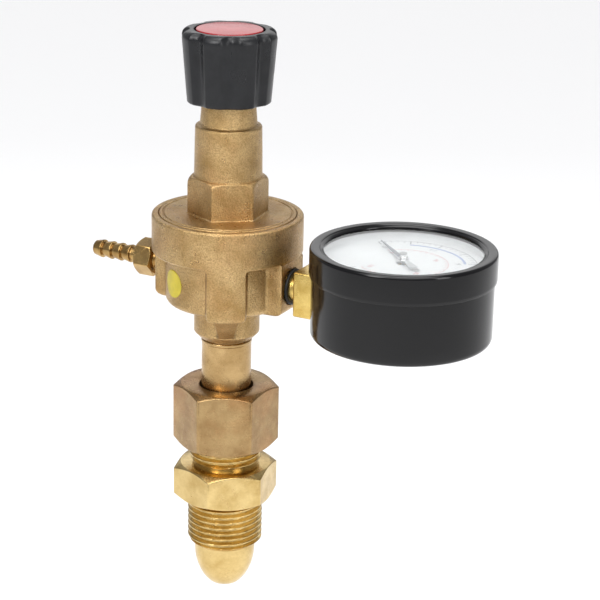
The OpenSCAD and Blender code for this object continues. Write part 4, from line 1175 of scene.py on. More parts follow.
@dataclass
class Bonnet:
    """Bonnet: flange in the ring's recess, hexagon rounded into the barrel, neck, sprung space."""

    hex_flat: float = 10.5 * MM
    hex_turn: float = math.radians(5.9)
    hex_height: float = 11.2 * MM
    barrel: float = 10.07 * MM
    barrel_top: float = 9.83 * MM
    barrel_height: float = 15.2 * MM
    neck: float = 8.3 * MM
    neck_top: float = 7.6 * MM
    spring_space: float = 8.2 * MM
    plate_space: float = 12.75 * MM
    plate_space_height: float = 4.4 * MM
    spindle_bore: float = 4.06 * MM
    vent_turn: float = math.radians(118)
    extent: Extent = field(default_factory=lambda: Extent.of("bonnet"))

    def __post_init__(self) -> None:
        """Works out the levels from the frame."""
        self.low = self.extent.low.z
        self.top = self.extent.high.z
        self.flange = self.extent.size.x / 2
        ring_top = Extent.of("regulator_body").high.z
        self.flange_top = ring_top + 0.2 * MM
        self.hex_top = self.flange_top + self.hex_height
        self.barrel_end = self.hex_top + self.barrel_height
        self.hexagon = Hexagon(self.hex_flat, self.hex_turn, 0.55 * MM)

    def shape(self, r: float, z: float, angle: float) -> float:
        """Radius of the bonnet where the outline has radius r."""
        if self.flange_top + 0.25 * MM < z < self.hex_top - 1e-6 and r > self.barrel:
            return soft_min(r, self.hexagon.radius(angle), 0.5 * MM)
        if self.flange_top - 1e-7 <= z <= self.flange_top + 0.25 * MM and r < self.hex_flat + 1.7 * MM:
            foot = self.hexagon.radius(angle) + 0.4 * MM
            return foot - (
                foot - self.hexagon.radius(angle)
            ) * smooth_step(0, 0.25 * MM, z - self.flange_top) + (r - 12.1 * MM)
        return r

    def path(self) -> Path:
        """Outline round the outside, then down the spindle's bore and the spring's space."""
        corner = self.hex_flat / math.cos(math.pi / 6)
        fall = corner - self.barrel
        f, t = self.flange, self.flange_top
        soft = 0.12 * MM
        flange = rounded(
            [
                (self.plate_space, self.low, 0), (f, self.low, soft), (f, t, 0.5 * MM),
                (f - 0.95 * MM, t, soft), (f - 1.3 * MM, t - 0.35 * MM, soft), (f - 1.65 * MM, t, soft),
                (f - 2.4 * MM, t, 0),
            ],
            4,
        )
        flange += dense([(f - 2.6 * MM, t), (12.2 * MM, t)], 0.9 * MM)
        hexagon = [(12.1 * MM, t), (12.1 * MM, t + 0.12 * MM), (12.1 * MM, t + 0.25 * MM)]
        hexagon += dense(
            [(corner + 0.3 * MM, t + 0.3 * MM), (corner + 0.3 * MM, self.hex_top - fall - 1.2 * MM)],
            1.0 * MM,
        )
        for i in range(17):
            a = math.radians(90 * i / 16)
            r = self.barrel + 0.02 * MM + (fall + 0.28 * MM) * math.cos(a)
            hexagon.append((r, self.hex_top - fall - 1.2 * MM + (fall + 1.2 * MM) * math.sin(a)))
        body = dense(
            [(self.barrel, self.hex_top + 0.05 * MM), (self.barrel_top, self.barrel_end - 1.6 * MM)],
            1.2 * MM,
        )
        upper = rounded(
            [
                body[-1] + (0,), (self.barrel_top, self.barrel_end, 1.3 * MM),
                (self.neck + 0.1 * MM, self.barrel_end + 0.3 * MM, 1.0 * MM),
                (self.neck_top, self.top - 0.6 * MM, 0.3 * MM),
                (self.neck_top - 0.6 * MM, self.top, 0.2 * MM), (self.spindle_bore, self.top, soft),
                (self.spindle_bore, self.barrel_end - 1.8 * MM, soft),
                (self.spring_space, self.barrel_end - 1.8 * MM, 0.8 * MM),
                (self.spring_space, self.low + self.plate_space_height, soft),
                (self.plate_space, self.low + self.plate_space_height, soft),
                (self.plate_space, self.low + 0.1 * MM, 0),
            ],
            6,
        )
        return flange + hexagon + body[:-1] + upper

    def build(self, palette: Palette) -> None:
        """Makes the bonnet and drills its vent."""
        obj = shell("bonnet_forging", self.path(), self.hexagon.angles(144), self.shape)
        aim = Matrix.Rotation(self.vent_turn, 4, "Z") @ Matrix.Rotation(math.pi / 2, 4, "Y")
        place = Matrix.Translation((0, 0, self.hex_top + 4 * MM)) @ aim
        obj = carved(obj, rod("vent_cutter", 1.0 * MM, 5 * MM, 12 * MM, place, 0.02 * MM))
        fit_out(obj, Body.REGULATOR, Slot.FORGED, palette, "bonnet")


# ---------------------------------------------------------------------------------------------------------
# Knob and outlet
# ---------------------------------------------------------------------------------------------------------


@dataclass
class AdjustingKnob:
    """Grooved plastic knob with a cap pressed into its top."""

    foot: float = 12.5 * MM
    wide: float = 14.1 * MM
    grooves: int = 8
    groove_turn: float = math.radians(-15)
    groove_depth: float = 1.0 * MM
    groove_half: float = math.radians(12.5)
    space: float = 9.2 * MM
    hub_bore: float = 3.23 * MM
    counterbore: float = 4.6 * MM
    recess: float = 10.3 * MM
    recess_depth: float = 2.4 * MM
    edge: float = 2.2 * MM
    waist: float = 0.16 * MM
    screw_depth: float = 3.0 * MM
    hub_height: float = 9.4 * MM
    neck_room: float = 4.3 * MM
    extent: Extent = field(default_factory=lambda: Extent.of("knob"))

    def shape(self, r: float, z: float, angle: float) -> float:
        """Radius of the knob where the outline has radius r."""
        if r < self.recess + 0.4 * MM:
            return r
        step = TAU / self.grooves
        phi = abs((angle - self.groove_turn + step / 2) % step - step / 2)
        dip = max(0.0, 1 - (phi / self.groove_half) ** 2) ** 1.5
        depth = self.groove_depth * (0.82 + 0.75 * smooth_step(self.extent.low.z, self.extent.high.z, z))
        lobe = self.waist * (1 - math.cos(self.grooves * (angle - self.groove_turn))) / 2
        on_top = z > self.extent.high.z - 2.5 * MM
        share = smooth_step(11.0 * MM, 13.4 * MM, r) if on_top else smooth_step(11.4 * MM, 12.2 * MM, r)
        return r - share * (depth * dip + self.waist - lobe)

    def path(self) -> Path:
        """Outline round the outside, then down the cap's recess and the hub."""
        low, high = self.extent.low.z, self.extent.high.z
        floor = high - self.recess_depth
        hub_top = floor - self.screw_depth
        space_top = max(hub_top - self.hub_height, Extent.of("bonnet").high.z + self.neck_room)
        soft = 0.25 * MM
        out = rounded([(self.space, low, 0), (self.foot, low, 0.7 * MM), (self.wide, high - self.edge, 0)], 5)
        out = out[:-1] + dense([out[-2], (self.wide, high - self.edge)], 0.8 * MM)[1:]
        for i in range(1, 15):
            a = math.radians(90 * i / 14)
            r = self.wide - self.edge + self.edge * math.cos(a)
            out.append((r, high - self.edge + self.edge * math.sin(a)))
        out += [(11.5 * MM, high), (11.1 * MM, high)]
        out += rounded(
            [
                (10.9 * MM, high, 0), (self.recess, high, soft), (self.recess, floor, soft),
                (self.counterbore, floor, soft), (self.counterbore, hub_top, soft),
                (self.hub_bore, hub_top, 0.1 * MM), (self.hub_bore, space_top, 0.1 * MM),
                (self.space, space_top, 0.5 * MM), (self.space, low + 0.2 * MM, 0),
            ],
            4,
        )
        return out

    def build(self, palette: Palette) -> None:
        """Makes the knob and its cap."""
        centres = [self.groove_turn + TAU * i / self.grooves for i in range(self.grooves)]
        edges = [c + side * self.groove_half for c in centres for side in (-1, 1)]
        angles = merged_angles(
            merged_angles(even_angles(96), angles_near(centres, self.groove_half, 15)),
            angles_near(edges, 0.03, 5),
        )
        obj = shell("knob_moulding", self.path(), angles, self.shape)
        fit_out(obj, Body.KNOB, Slot.KNOB, palette, "knob")
        self.cap(palette)

    def cap(self, palette: Palette) -> None:
        """Makes the hollow cap with its slightly crowned top."""
        extent = Extent.of("knob_cap")
        r = extent.size.x / 2
        low, high = extent.low.z, extent.high.z
        crown = [(r * (1 - k / 12), high - 0.32 * MM * (1 - k / 12) ** 2) for k in range(1, 13)]
        under = [(0.0, high - 1.3 * MM), (r - 1.6 * MM, high - 1.3 * MM)]
        rim = rounded(
            [
                under[-1] + (0,), (r - 1.4 * MM, high - 1.5 * MM, 0.1 * MM), (r - 1.4 * MM, low, 0.1 * MM),
                (r, low, 0.1 * MM), (r, high - 0.32 * MM, 0.55 * MM), crown[0] + (0,),
            ],
            6,
        )
        obj = shell("knob_cap_moulding", under[:1] + rim + crown[1:], even_angles(112))
        fit_out(obj, Body.KNOB, Slot.CAP, palette, "knob_cap")


@dataclass
class HoseBarb:
    """Turned hose barb: shank, neck, hexagon and ramped barbs, bored through."""

    shank: float = 3.94 * MM
    neck: float = 3.3 * MM
    neck_length: float = 2.0 * MM
    neck_step: float = 0.7 * MM
    hex_flat: float = 5.0 * MM
    hex_turn: float = math.radians(-11.5)
    hex_length: float = 6.0 * MM
    crest: float = 2.75 * MM
    root: float = 2.1 * MM
    land: float = 0.5 * MM
    barbs: int = 4
    pitch: float = 3.35 * MM
    bore: float = 1.2 * MM
    crown_depth: float = 0.5 * MM
    shank_end: float = 14.5 * MM
    extent: Extent = field(default_factory=lambda: Extent.of("hose_barb"))
    seal: Extent = field(default_factory=lambda: Extent.of("barb_washer"))

    def __post_init__(self) -> None:
        """Works out the places along the barb from the frame."""
        self.tip = -self.extent.low.x
        self.face = -self.seal.high.x
        self.hex_start = -self.seal.low.x + self.neck_length
        self.hex_end = self.hex_start + self.hex_length
        self.hexagon = Hexagon(self.hex_flat, self.hex_turn, 0.3 * MM)

    def shape(self, r: float, z: float, angle: float) -> float:
        """Radius of the barb where the outline has radius r; rows of the hexagon follow its flats."""
        inside = self.hex_start - 1e-7 <= z <= self.hex_end + 1e-7 and r > self.hex_flat - 0.35 * MM
        return soft_min(r, self.hexagon.radius(angle), 0.18 * MM) if inside else r

    def path(self) -> Path:
        """Outline from the shank's end to the tip."""
        start, end, relief = self.hex_start, self.hex_end, self.face - self.neck_step
        shank = rounded(
            [
                (self.bore, self.shank_end, 0), (self.shank, self.shank_end, 0.5 * MM),
                (self.shank, relief, 0.1 * MM), (self.neck, relief, 0.05 * MM),
                (self.neck, start - 0.02 * MM, 0.2 * MM), (self.hex_flat - 0.3 * MM, start, 0),
            ],
            4,
        )
        hexes = self.hexagon.turned_rows(start, end, 0.28 * MM, 0.07 * MM, 0.0, 0.25 * MM)
        ridges = [(self.root + 0.5 * MM, end, 0), (self.root, end + 0.5 * MM, 0.3 * MM)]
        first = self.tip - self.barbs * self.pitch
        for i in range(self.barbs):
            x = first + i * self.pitch
            ridges += [
                (self.root, x - 0.02 * MM, 0.12 * MM), (self.crest, x, 0.14 * MM),
                (self.crest, x + self.land, 0.5 * MM),
            ]
        ridges += [
            (self.root + 0.1 * MM, self.tip - self.crown_depth, 0.3 * MM),
            (self.root - 0.5 * MM, self.tip, 0.2 * MM), (self.bore, self.tip, 0.08 * MM),
            (self.bore, self.tip - self.crown_depth, 0),
        ]
        return shank + hexes + rounded(ridges, 4)

    def build(self, palette: Palette) -> None:
        """Makes the barb and the seal ring behind it."""
        height = self.seal.centre.z
        obj = shell("hose_barb_turned", self.path(), self.hexagon.angles(96), self.shape, along_x(height, -1))
        fit_out(obj, Body.REGULATOR, Slot.BARB, palette, "hose_barb")
        seal_ring("barb_washer", -1, self.neck, palette)


def seal_ring(node: str, sign: int, neck: float, palette: Palette) -> None:
    """Makes the rubber ring of one port, its edges rounded by the squeeze; its black is partly painted shade
    for the port's dark mouth.

    Args:
        node: frame node that it replaces.
        sign: side of the main axis that it lies on.
        neck: radius of the neck that it's stretched over.
        palette: the finishes.
    """
    extent = Extent.of(node)
    outer = extent.size.y / 2
    near = min(abs(extent.low.x), abs(extent.high.x))
    far = max(abs(extent.low.x), abs(extent.high.x))
    corners = [
        (neck, near, 0), (outer, near, 0.3 * MM), (outer, far, 0.45 * MM),
        (neck, far, 0.2 * MM), (neck, near + 0.1 * MM, 0),
    ]
    obj = shell(f"{node}_pressed", rounded(corners), even_angles(96), place=along_x(extent.centre.z, sign))
    fit_out(obj, Body.REGULATOR, Slot.RUBBER, palette, node)


# ---------------------------------------------------------------------------------------------------------
# Gauge
# ---------------------------------------------------------------------------------------------------------


@dataclass(frozen=True)
class TickRing:
    """Ring of ticks on the dial, laid out by Geometry Nodes.

    Args:
        name: piece's name.
        count: number of ticks.
        radius: distance from the dial's centre to the middle of a tick.
        length: tick's length outwards.
        width: tick's width.
        start: direction of the first tick.
        sweep: angle from the first tick to the last, clockwise.
        thick: height of the print over the dial.
    """

    name: str
    count: int
    radius: float
    length: float
    width: float
    start: float
    sweep: float
    thick: float = 0.02 * MM

    def tree(self, material: bpy.types.Material) -> bpy.types.GeometryNodeTree:
        """Builds the node tree with its named inputs."""
        tree = bpy.data.node_groups.new(f"{self.name}_tree", "GeometryNodeTree")
        tree.interface.new_socket("Geometry", in_out="OUTPUT", socket_type="NodeSocketGeometry")
        tree.interface.new_socket("Count", in_out="INPUT", socket_type="NodeSocketInt")
        for label in ("Radius", "Length", "Width", "Thickness", "Start", "Step"):
            tree.interface.new_socket(label, in_out="INPUT", socket_type="NodeSocketFloat")
        new, link = tree.nodes.new, tree.links.new
        given = new("NodeGroupInput")
        result = new("NodeGroupOutput")
        line = new("GeometryNodeMeshLine")
        link(given.outputs["Count"], line.inputs["Count"])
        index = new("GeometryNodeInputIndex")
        turn = new("ShaderNodeMath")
        turn.operation = "MULTIPLY_ADD"
        link(index.outputs[0], turn.inputs[0])
        link(given.outputs["Step"], turn.inputs[1])
        link(given.outputs["Start"], turn.inputs[2])
        parts = []
        for operation in ("COSINE", "SINE"):
            wave = new("ShaderNodeMath")
            wave.operation = operation
            link(turn.outputs[0], wave.inputs[0])
            scaled = new("ShaderNodeMath")
            scaled.operation = "MULTIPLY"
            link(wave.outputs[0], scaled.inputs[0])
            link(given.outputs["Radius"], scaled.inputs[1])
            parts.append(scaled.outputs[0])
        place = new("ShaderNodeCombineXYZ")
        link(parts[0], place.inputs["X"])
        link(parts[1], place.inputs["Y"])
        moved = new("GeometryNodeSetPosition")
        link(line.outputs["Mesh"], moved.inputs["Geometry"])
        link(place.outputs[0], moved.inputs["Position"])
        size = new("ShaderNodeCombineXYZ")
        for axis, label in zip("XYZ", ("Length", "Width", "Thickness")):
            link(given.outputs[label], size.inputs[axis])
        bar = new("GeometryNodeMeshCube")
        link(size.outputs[0], bar.inputs["Size"])
        spin = new("ShaderNodeCombineXYZ")
        link(turn.outputs[0], spin.inputs["Z"])
        copies = new("GeometryNodeInstanceOnPoints")
        link(moved.outputs["Geometry"], copies.inputs["Points"])
        link(bar.outputs["Mesh"], copies.inputs["Instance"])
        link(spin.outputs[0], copies.inputs["Rotation"])
        real = new("GeometryNodeRealizeInstances")
        link(copies.outputs["Instances"], real.inputs["Geometry"])
        paint = new("GeometryNodeSetMaterial")
        paint.inputs["Material"].default_value = material
        link(real.outputs["Geometry"], paint.inputs["Geometry"])
        link(paint.outputs["Geometry"], result.inputs["Geometry"])
        return tree

    def build(self, centre: Vector, material: bpy.types.Material) -> bpy.types.Object:
        """Makes the ticks as a plain mesh lying on the dial at the given centre."""
        host = placed(f"{self.name}_host", bpy.data.meshes.new(f"{self.name}_host"))
        modifier = host.modifiers.new("ticks", "NODES")
        modifier.node_group = self.tree(material)
        values = {
            "Count": self.count, "Radius": self.radius, "Length": self.length, "Width": self.width,
            "Thickness": self.thick, "Start": self.start, "Step": -self.sweep / max(self.count - 1, 1),
        }
        for item in modifier.node_group.interface.items_tree:
            if item.item_type == "SOCKET" and item.in_out == "INPUT":
                modifier[item.identifier] = values[item.name]
        mesh = settled_mesh(host)
        host.modifiers.clear()
        bpy.data.objects.remove(host)
        mesh.transform(Matrix.Translation(centre + Vector((0, 0, self.thick / 2))))
        return placed(self.name, mesh)


def arc_band(
    name: str, centre: Vector, inner: float, outer: float, start: float, sweep: float, thick: float,
) -> bpy.types.Object:
    """Thin printed band along an arc.

    Args:
        name: piece's name.
        centre: middle of the arc, on the dial's face.
        inner: inner radius.
        outer: outer radius.
        start: direction of the band's start.
        sweep: angle that it goes through, clockwise.
        thick: height of the print.

    Returns:
        The new object.
    """
    bm = bmesh.new()
    steps = max(8, int(math.degrees(abs(sweep)) / 2))
    sections = []
    for i in range(steps + 1):
        a = start - sweep * i / steps
        c, s = math.cos(a), math.sin(a)
        corners = ((inner, 0.0), (outer, 0.0), (outer, thick), (inner, thick))
        sections.append([bm.verts.new(centre + Vector((r * c, r * s, z))) for r, z in corners])
    for one, two in zip(sections, sections[1:]):
        for k in range(4):
            m = (k + 1) % 4
            bm.faces.new((one[k], one[m], two[m], two[k]))
    bm.faces.new(sections[0])
    bm.faces.new(list(reversed(sections[-1])))
    bmesh.ops.recalc_face_normals(bm, faces=bm.faces)
    return from_bmesh(name, bm)


def printed_number(text: str, size: float, place: Vector) -> bpy.types.Object:
    """Number printed on the dial, read with +X at the top."""
    curve = bpy.data.curves.new(f"number_{text}", "FONT")
    curve.body = text
    curve.size = size
    curve.align_x = "CENTER"
    curve.align_y = "CENTER"
    curve.extrude = 0.01 * MM
    curve.resolution_u = 3
    host = placed(f"number_{text}", curve)
    mesh = settled_mesh(host)
    bpy.data.objects.remove(host)
    mesh.transform(
        Matrix.Translation(place + Vector((0, 0, 0.01 * MM))) @ Matrix.Rotation(-math.pi / 2, 4, "Z")
    )
    return placed(f"number_{text}", mesh)


@dataclass
class PressureGauge:
    """Gauge: socket block, case, bezel, window, printed dial and pointer."""

    wall: float = 1.2 * MM
    case_fillet: float = 2.0 * MM
    block: float = 13.6 * MM
    neck: float = 4.2 * MM
    neck_length: float = 2.6 * MM
    neck_step: float = 0.7 * MM
    shank: float = 4.84 * MM
    shank_end: float = 14.5 * MM
    foot_width: float = 12.0 * MM
    lip: float = 22.75 * MM
    pointer_gap: float = 4.2 * MM
    window_edge: float = 0.2 * MM
    print_thickness: float = 0.02 * MM
    zero: float = math.radians(135)
    sweep: float = math.radians(270)
    case: Extent = field(default_factory=lambda: Extent.of("gauge_case"))
    socket: Extent = field(default_factory=lambda: Extent.of("gauge_socket"))
    ring: Extent = field(default_factory=lambda: Extent.of("gauge_bezel"))
    glass: Extent = field(default_factory=lambda: Extent.of("gauge_window"))
    dial: Extent = field(default_factory=lambda: Extent.of("gauge_dial"))

    def __post_init__(self) -> None:
        """Works out the gauge's centre and the height of its port."""
        self.centre_x = self.ring.centre.x
        self.port_z = Extent.of("gauge_washer").centre.z
        self.place = Matrix.Translation((self.centre_x, 0, 0))
        self.face = Vector((self.centre_x, 0, self.dial.high.z))

    def build(self, palette: Palette) -> None:
        """Makes every outer piece of the gauge."""
        self.build_socket(palette)
        self.build_case(palette)
        self.build_bezel(palette)
        self.build_window(palette)
        self.build_dial(palette)
        self.build_pointer(palette)
        seal_ring("gauge_washer", 1, self.neck, palette)

    def build_socket(self, palette: Palette) -> None:
        """Makes the threaded neck, the wrench block and the foot inside the case."""
        seal = Extent.of("gauge_washer")
        relief = seal.low.x - self.neck_step
        block_x = seal.high.x + self.neck_length
        foot_x = self.centre_x - (self.case.size.y / 2 - self.wall - 1.6 * MM)
        half = self.block / 2
        corners = [
            (0, self.shank_end, 0), (self.shank, self.shank_end, 0.5 * MM), (self.shank, relief, 0.1 * MM),
            (self.neck, relief, 0.05 * MM), (self.neck, block_x + 1 * MM, 0.05 * MM),
            (0, block_x + 1 * MM, 0),
        ]
        obj = shell("gauge_socket_block", rounded(corners, 4), even_angles(96), place=along_x(self.port_z))
        low = Vector((block_x, -half, self.port_z - half))
        obj = carved(
            obj, rounded_box("block_part", low, Vector((foot_x, half, self.port_z + half)), 0.55 * MM, 4),
            union=True,
        )
        low = Vector((foot_x - 0.5 * MM, -self.foot_width / 2, self.port_z - half))
        high = Vector((self.centre_x - 10 * MM, self.foot_width / 2, self.socket.high.z))
        obj = carved(obj, rounded_box("foot_part", low, high, 0.3 * MM, 2), union=True)
        fit_out(obj, Body.REGULATOR, Slot.BLOCK, palette, "gauge_socket")

    def build_case(self, palette: Palette) -> None:
        """Makes the drawn case with its rounded floor and the opening for the block."""
        outer = self.case.size.y / 2
        inner = outer - self.wall
        low, high = self.case.low.z, self.case.high.z
        corners = [
            (0, low, 0), (outer, low, self.case_fillet), (outer, high, 0.1 * MM), (inner, high, 0.1 * MM),
            (inner, low + self.wall, self.case_fillet - self.wall), (0, low + self.wall, 0),
        ]
        path = dense(rounded(corners, 10), 2.5 * MM)
        obj = shell("gauge_case_drawn", path, even_angles(192), place=self.place)
        half = self.block / 2 + 0.1 * MM
        low_corner = Vector((self.centre_x - outer - 1 * MM, -half, self.port_z - half))
        cutter = rounded_box(
            "case_cutter", low_corner, low_corner + Vector((4 * MM, 2 * half, 2 * half)), 0.3 * MM, 2,
        )
        obj = carved(obj, cutter)
        fit_out(obj, Body.REGULATOR, Slot.ENAMEL, palette, "gauge_case")

    def build_bezel(self, palette: Palette) -> None:
        """Makes the bezel: rolled outer edge, inward sloping face, and a stepped lip down to the window."""
        outer = self.ring.size.y / 2
        skirt = self.case.size.y / 2 + 0.05 * MM
        low, high, glass = self.ring.low.z, self.ring.high.z, self.glass.high.z
        corners = [
            (skirt, low, 0), (outer - 0.15 * MM, low, 0.3 * MM), (outer, low + 0.9 * MM, 0.3 * MM),
            (outer, high, 1.1 * MM), (self.lip + 1.35 * MM, high - 0.12 * MM, 0.8 * MM),
            (self.lip + 1.0 * MM, high - 0.42 * MM, 0.12 * MM),
            (self.lip + 0.8 * MM, high - 0.42 * MM, 0.1 * MM),
            (self.lip + 0.1 * MM, high - 0.75 * MM, 0.2 * MM), (self.lip, glass, 0.05 * MM),
            (skirt, glass, 0.05 * MM), (skirt, low + 0.2 * MM, 0),
        ]
        obj = shell("gauge_bezel_rolled", rounded(corners, 8), even_angles(224), place=self.place)
        fit_out(obj, Body.REGULATOR, Slot.ENAMEL, palette, "gauge_bezel")

    def build_window(self, palette: Palette) -> None:
        """Makes the clear window with eased edges."""
        r = self.glass.size.x / 2
        low, high = self.glass.low.z, self.glass.high.z
        flat, edge = r - 0.8 * MM, r - 0.5 * MM
        corners = [
            (0, low, 0), (flat, low, 0), (edge, low, 0), (r, low, self.window_edge),
            (r, high, self.window_edge), (edge, high, 0), (flat, high, 0), (0, high, 0),
        ]
        obj = shell("gauge_window_pane", rounded(corners), even_angles(160), place=self.place)
        fit_out(obj, Body.REGULATOR, Slot.GLASS, palette, "gauge_window")

    def build_dial(self, palette: Palette) -> None:
        """Makes the dial plate and its print: ticks, bands and numbers."""
        r = self.dial.size.x / 2
        low, high = self.dial.low.z, self.dial.high.z
        top = self.glass.low.z - 0.3 * MM
        corners = [
            (2 * MM, low, 0), (r, low, 0.3 * MM), (r, top, 0.1 * MM), (r - 0.35 * MM, top, 0.1 * MM),
            (r - 0.5 * MM, high, 0.9 * MM), (2 * MM, high, 0.1 * MM), (2 * MM, low + 0.1 * MM, 0),
        ]
        plate = shell("gauge_dial_plate", rounded(corners), even_angles(160), place=self.place)
        fit_out(plate, Body.REGULATOR, Slot.DIAL, palette, "gauge_dial")
        for name, count, radius, length, width, ink in (
            ("major_ticks", 11, 19.6 * MM, 2.4 * MM, 0.34 * MM, "scale_ink"),
            ("minor_ticks", 51, 20.2 * MM, 1.2 * MM, 0.16 * MM, "scale_ink"),
            ("inner_ticks", 31, 12.2 * MM, 0.9 * MM, 0.14 * MM, "scale_red_ink"),
        ):
            ring = TickRing(name, count, radius, length, width, self.zero, self.sweep)
            self.print_on(ring.build(self.face, palette[ink]), ink, palette)
        for name, inner, outer, start, share, ink in (
            ("outer_line", 20.9 * MM, 21.1 * MM, 0.0, 1.0, "scale_ink"),
            ("inner_line", 12.7 * MM, 12.85 * MM, 0.0, 1.0, "scale_red_ink"),
            ("limit_band", 17.2 * MM, 17.9 * MM, 0.8, 0.2, "scale_red_ink"),
            ("working_band", 17.2 * MM, 17.9 * MM, 0.1, 0.3, "scale_blue_ink"),
        ):
            first = self.zero - self.sweep * start
            band = arc_band(name, self.face, inner, outer, first, self.sweep * share, self.print_thickness)
            self.print_on(band, ink, palette)
        self.print_numbers(palette)

    def print_numbers(self, palette: Palette) -> None:
        """Prints the numbers of the outer and the inner scale."""
        for radius, size, values, ink, label in (
            (15.6 * MM, 2.9 * MM, (0, 2, 4, 6, 8, 10), "scale_ink", "outer_numbers"),
            (9.9 * MM, 1.9 * MM, (0, 40, 80, 120), "scale_red_ink", "inner_numbers"),
        ):
            signs = []
            for i, value in enumerate(values):
                a = self.zero - self.sweep * i / (len(values) - 1)
                spot = self.face + Vector((radius * math.cos(a), radius * math.sin(a), 0))
                signs.append(printed_number(str(value), size, spot))
            self.print_on(joined(label, signs), ink, palette)

    def print_on(self, obj: bpy.types.Object, ink: str, palette: Palette) -> None:
        """Fits out a piece of print as part of the dial."""
        obj.name = f"dial_{obj.name}"
        fit_out(obj, Body.REGULATOR, Slot.DIAL, palette, "gauge_dial", finish=ink)

    def build_pointer(self, palette: Palette) -> None:
        """Makes the tapered blade, the paddle tail and the domed hub."""
        extent = Extent.of("pointer")
        cap = Extent.of("pointer_cap")
        low, high = extent.low.z, extent.high.z
        reach = self.lip - self.pointer_gap
        blade = [(-1.2, 0.62), (0, 0.75), (9, 0.52), (reach / MM - 1, 0.16), (reach / MM, 0.1)]
        tail = [(-7.9, 1.25), (-7.4, 1.3), (-3.2, 0.8), (-1.1, 0.7)]
        for name, half, finish in (("pointer_blade", blade, ""), ("pointer_tail", tail, "pointer_tail")):
            outline = [(x * MM, y * MM) for x, y in half] + [(x * MM, -y * MM) for x, y in reversed(half)]
            bm = bmesh.new()
            face = bm.faces.new([bm.verts.new((x, y, low)) for x, y in outline])
            grown = bmesh.ops.extrude_face_region(bm, geom=[face])
            moved = [v for v in grown["geom"] if isinstance(v, bmesh.types.BMVert)]
            bmesh.ops.translate(bm, verts=moved, vec=(0, 0, high - low))
            bmesh.ops.bevel(
                bm, geom=list(bm.edges), offset=0.06 * MM, segments=2, profile=0.5, affect="EDGES",
            )
            bm.transform(self.place @ Matrix.Rotation(self.zero, 4, "Z"))
            bmesh.ops.recalc_face_normals(bm, faces=bm.faces)
            obj = from_bmesh(name, bm)
            fit_out(obj, Body.POINTER, Slot.POINTER, palette, "pointer", finish=finish)
        r = cap.size.x / 2
        corners = [
            (0, low + 0.02 * MM, 0), (r + 0.25 * MM, low + 0.02 * MM, 0.05 * MM),
            (r + 0.25 * MM, high, 0.1 * MM), (r, high + 0.02 * MM, 0.1 * MM),
            (r - 0.15 * MM, cap.high.z, 0.45 * MM), (0, cap.high.z, 0),
        ]
        hub = shell("pointer_hub", rounded(corners, 6), even_angles(64), place=self.place)
        fit_out(hub, Body.POINTER, Slot.HUB, palette, "pointer_cap")


# ---------------------------------------------------------------------------------------------------------
# Studio
# ---------------------------------------------------------------------------------------------------------


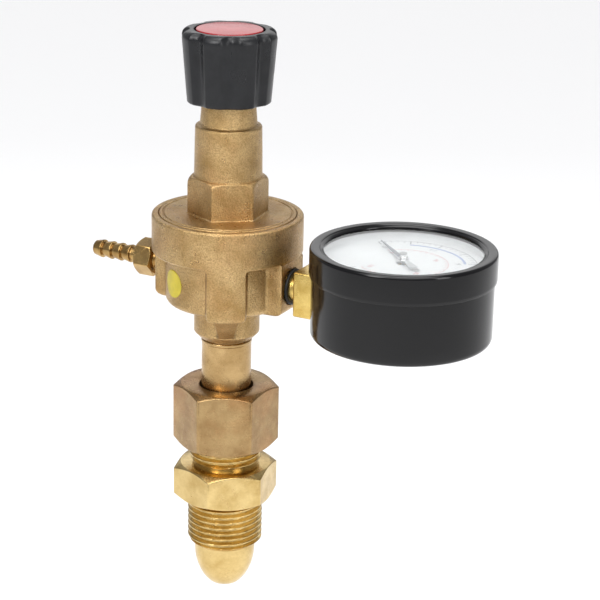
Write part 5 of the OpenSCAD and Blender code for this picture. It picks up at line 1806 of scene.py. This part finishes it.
@dataclass
class Studio:
    """Camera, soft lights, pale surroundings and a floor well below the part."""

    eye: Vector = field(default_factory=lambda: Vector((0.28054, -0.51030, 0.26924)))
    side_turn: float = math.radians(28.8)
    yaw: float = math.radians(2.15)
    pitch: float = math.radians(18.86)
    roll: float = 0.0220
    lens: float = 123.24
    floor_drop: float = 0.25
    floor_radius: float = 6.0
    wall_shade: tuple[float, float, float, float] = (0.38, 0.38, 0.39, 1.0)
    roof_shade: tuple[float, float, float, float] = (0.34, 0.34, 0.35, 1.0)

    def camera(self) -> None:
        """Makes the camera at the eye, turned, tilted and slightly rolled."""
        turn = Matrix.Rotation(self.side_turn, 3, "Z")
        ahead = turn @ Vector((math.sin(self.yaw), math.cos(self.yaw), 0))
        right = turn @ Vector((math.cos(self.yaw), -math.sin(self.yaw), 0))
        up_axis = Vector((0, 0, 1))
        forward = ahead * math.cos(self.pitch) - up_axis * math.sin(self.pitch)
        up = ahead * math.sin(self.pitch) + up_axis * math.cos(self.pitch)
        c, s = math.cos(self.roll), math.sin(self.roll)
        right, up = right * c + up * s, up * c - right * s
        data = bpy.data.cameras.new("studio_camera")
        data.lens = self.lens
        data.sensor_width = 36.0
        data.clip_start, data.clip_end = 0.01, 20.0
        cam = placed("studio_camera", data)
        basis = Matrix((right, up, -forward)).transposed().to_4x4()
        cam.matrix_world = Matrix.Translation(self.eye) @ basis
        bpy.context.scene.camera = cam

    def light(
        self, name: str, place: tuple[float, float, float], aim: tuple[float, float, float],
        size: tuple[float, float], power: float,
    ) -> None:
        """Makes one soft rectangular light.

        Args:
            name: light's name.
            place: where it hangs.
            aim: point that it faces.
            size: width and height.
            power: watts.
        """
        data = bpy.data.lights.new(name, "AREA")
        data.shape = "RECTANGLE"
        data.size, data.size_y = size
        data.energy = power
        obj = placed(name, data)
        obj.location = place
        obj.rotation_mode = "QUATERNION"
        obj.rotation_quaternion = (Vector(aim) - Vector(place)).to_track_quat("-Z", "Y")

    def sky_light(
        self, name: str, toward: tuple[float, float, float], strength: float, spread: float,
    ) -> None:
        """Makes one distant, wide light that whitens the floor evenly.

        Args:
            name: light's name.
            toward: direction from the part to the light.
            strength: watts on each square metre.
            spread: angle that the light fills.
        """
        data = bpy.data.lights.new(name, "SUN")
        data.energy = strength
        data.angle = spread
        obj = placed(name, data)
        obj.rotation_mode = "QUATERNION"
        obj.rotation_quaternion = (-Vector(toward)).to_track_quat("-Z", "Y")

    def surroundings(self) -> None:
        """Sets the pale world and makes the floor."""
        world = bpy.data.worlds.new("pale_room")
        world.use_nodes = True
        tree = world.node_tree
        back = tree.nodes["Background"]
        split = tree.nodes.new("ShaderNodeSeparateXYZ")
        shade = tree.nodes.new("ShaderNodeValToRGB")
        for element, place, colour in zip(
            shade.color_ramp.elements, (0.0, 0.9), (self.wall_shade, self.roof_shade),
        ):
            element.position = place
            element.color = colour
        tree.links.new(tree.nodes.new("ShaderNodeTexCoord").outputs["Generated"], split.inputs[0])
        tree.links.new(split.outputs["Z"], shade.inputs["Fac"])
        tree.links.new(shade.outputs["Color"], back.inputs["Color"])
        back.inputs["Strength"].default_value = 1.0
        bpy.context.scene.world = world
        level = FIRST_BOUNDS[0].z - self.floor_drop
        bm = bmesh.new()
        bmesh.ops.create_circle(bm, cap_ends=True, segments=96, radius=self.floor_radius)
        bmesh.ops.translate(bm, verts=bm.verts, vec=(0, 0, level))
        bmesh.ops.recalc_face_normals(bm, faces=bm.faces)
        floor = from_bmesh("studio_floor", bm)
        floor.data.materials.append(Coating("floor_white", (0.93, 0.93, 0.93), 0.7, 0.0, mottle=0.0).build())

    def build(self) -> None:
        """Sets up the whole studio."""
        bpy.context.scene.view_settings.view_transform = "Standard"
        self.surroundings()
        self.camera()
        aim = (0.02, 0.0, 0.07)
        self.light("key_panel", (-0.15, -0.90, 0.70), aim, (0.3, 0.6), 4.0)
        self.light("fill_panel", (0.85, -0.25, 0.40), aim, (0.25, 0.7), 2.2)
        self.light("top_panel", (0.0, 0.1, 0.9), aim, (0.5, 0.5), 3.0)
        self.light("back_panel", (-0.50, 1.10, 0.55), (0.05, 0.0, 0.09), (1.3, 0.5), 1.7)
        self.sky_light("soft_sky", (0.12, -0.50, 1.0), 2.35, math.radians(70))
        LOG.info("studio ready")


def main() -> None:
    """Builds the finishes, the pieces and the studio in order."""
    logging.basicConfig(level=logging.INFO, format="%(message)s")
    palette = build_palette()
    dress_frame(palette)
    for part in (
        CylinderAdapter(), UnionNut(), InletStem(), RegulatorBody(), Bonnet(), AdjustingKnob(), HoseBarb(),
        PressureGauge(),
    ):
        part.build(palette)
    Studio().build()


if __name__ == "__main__":
    main()
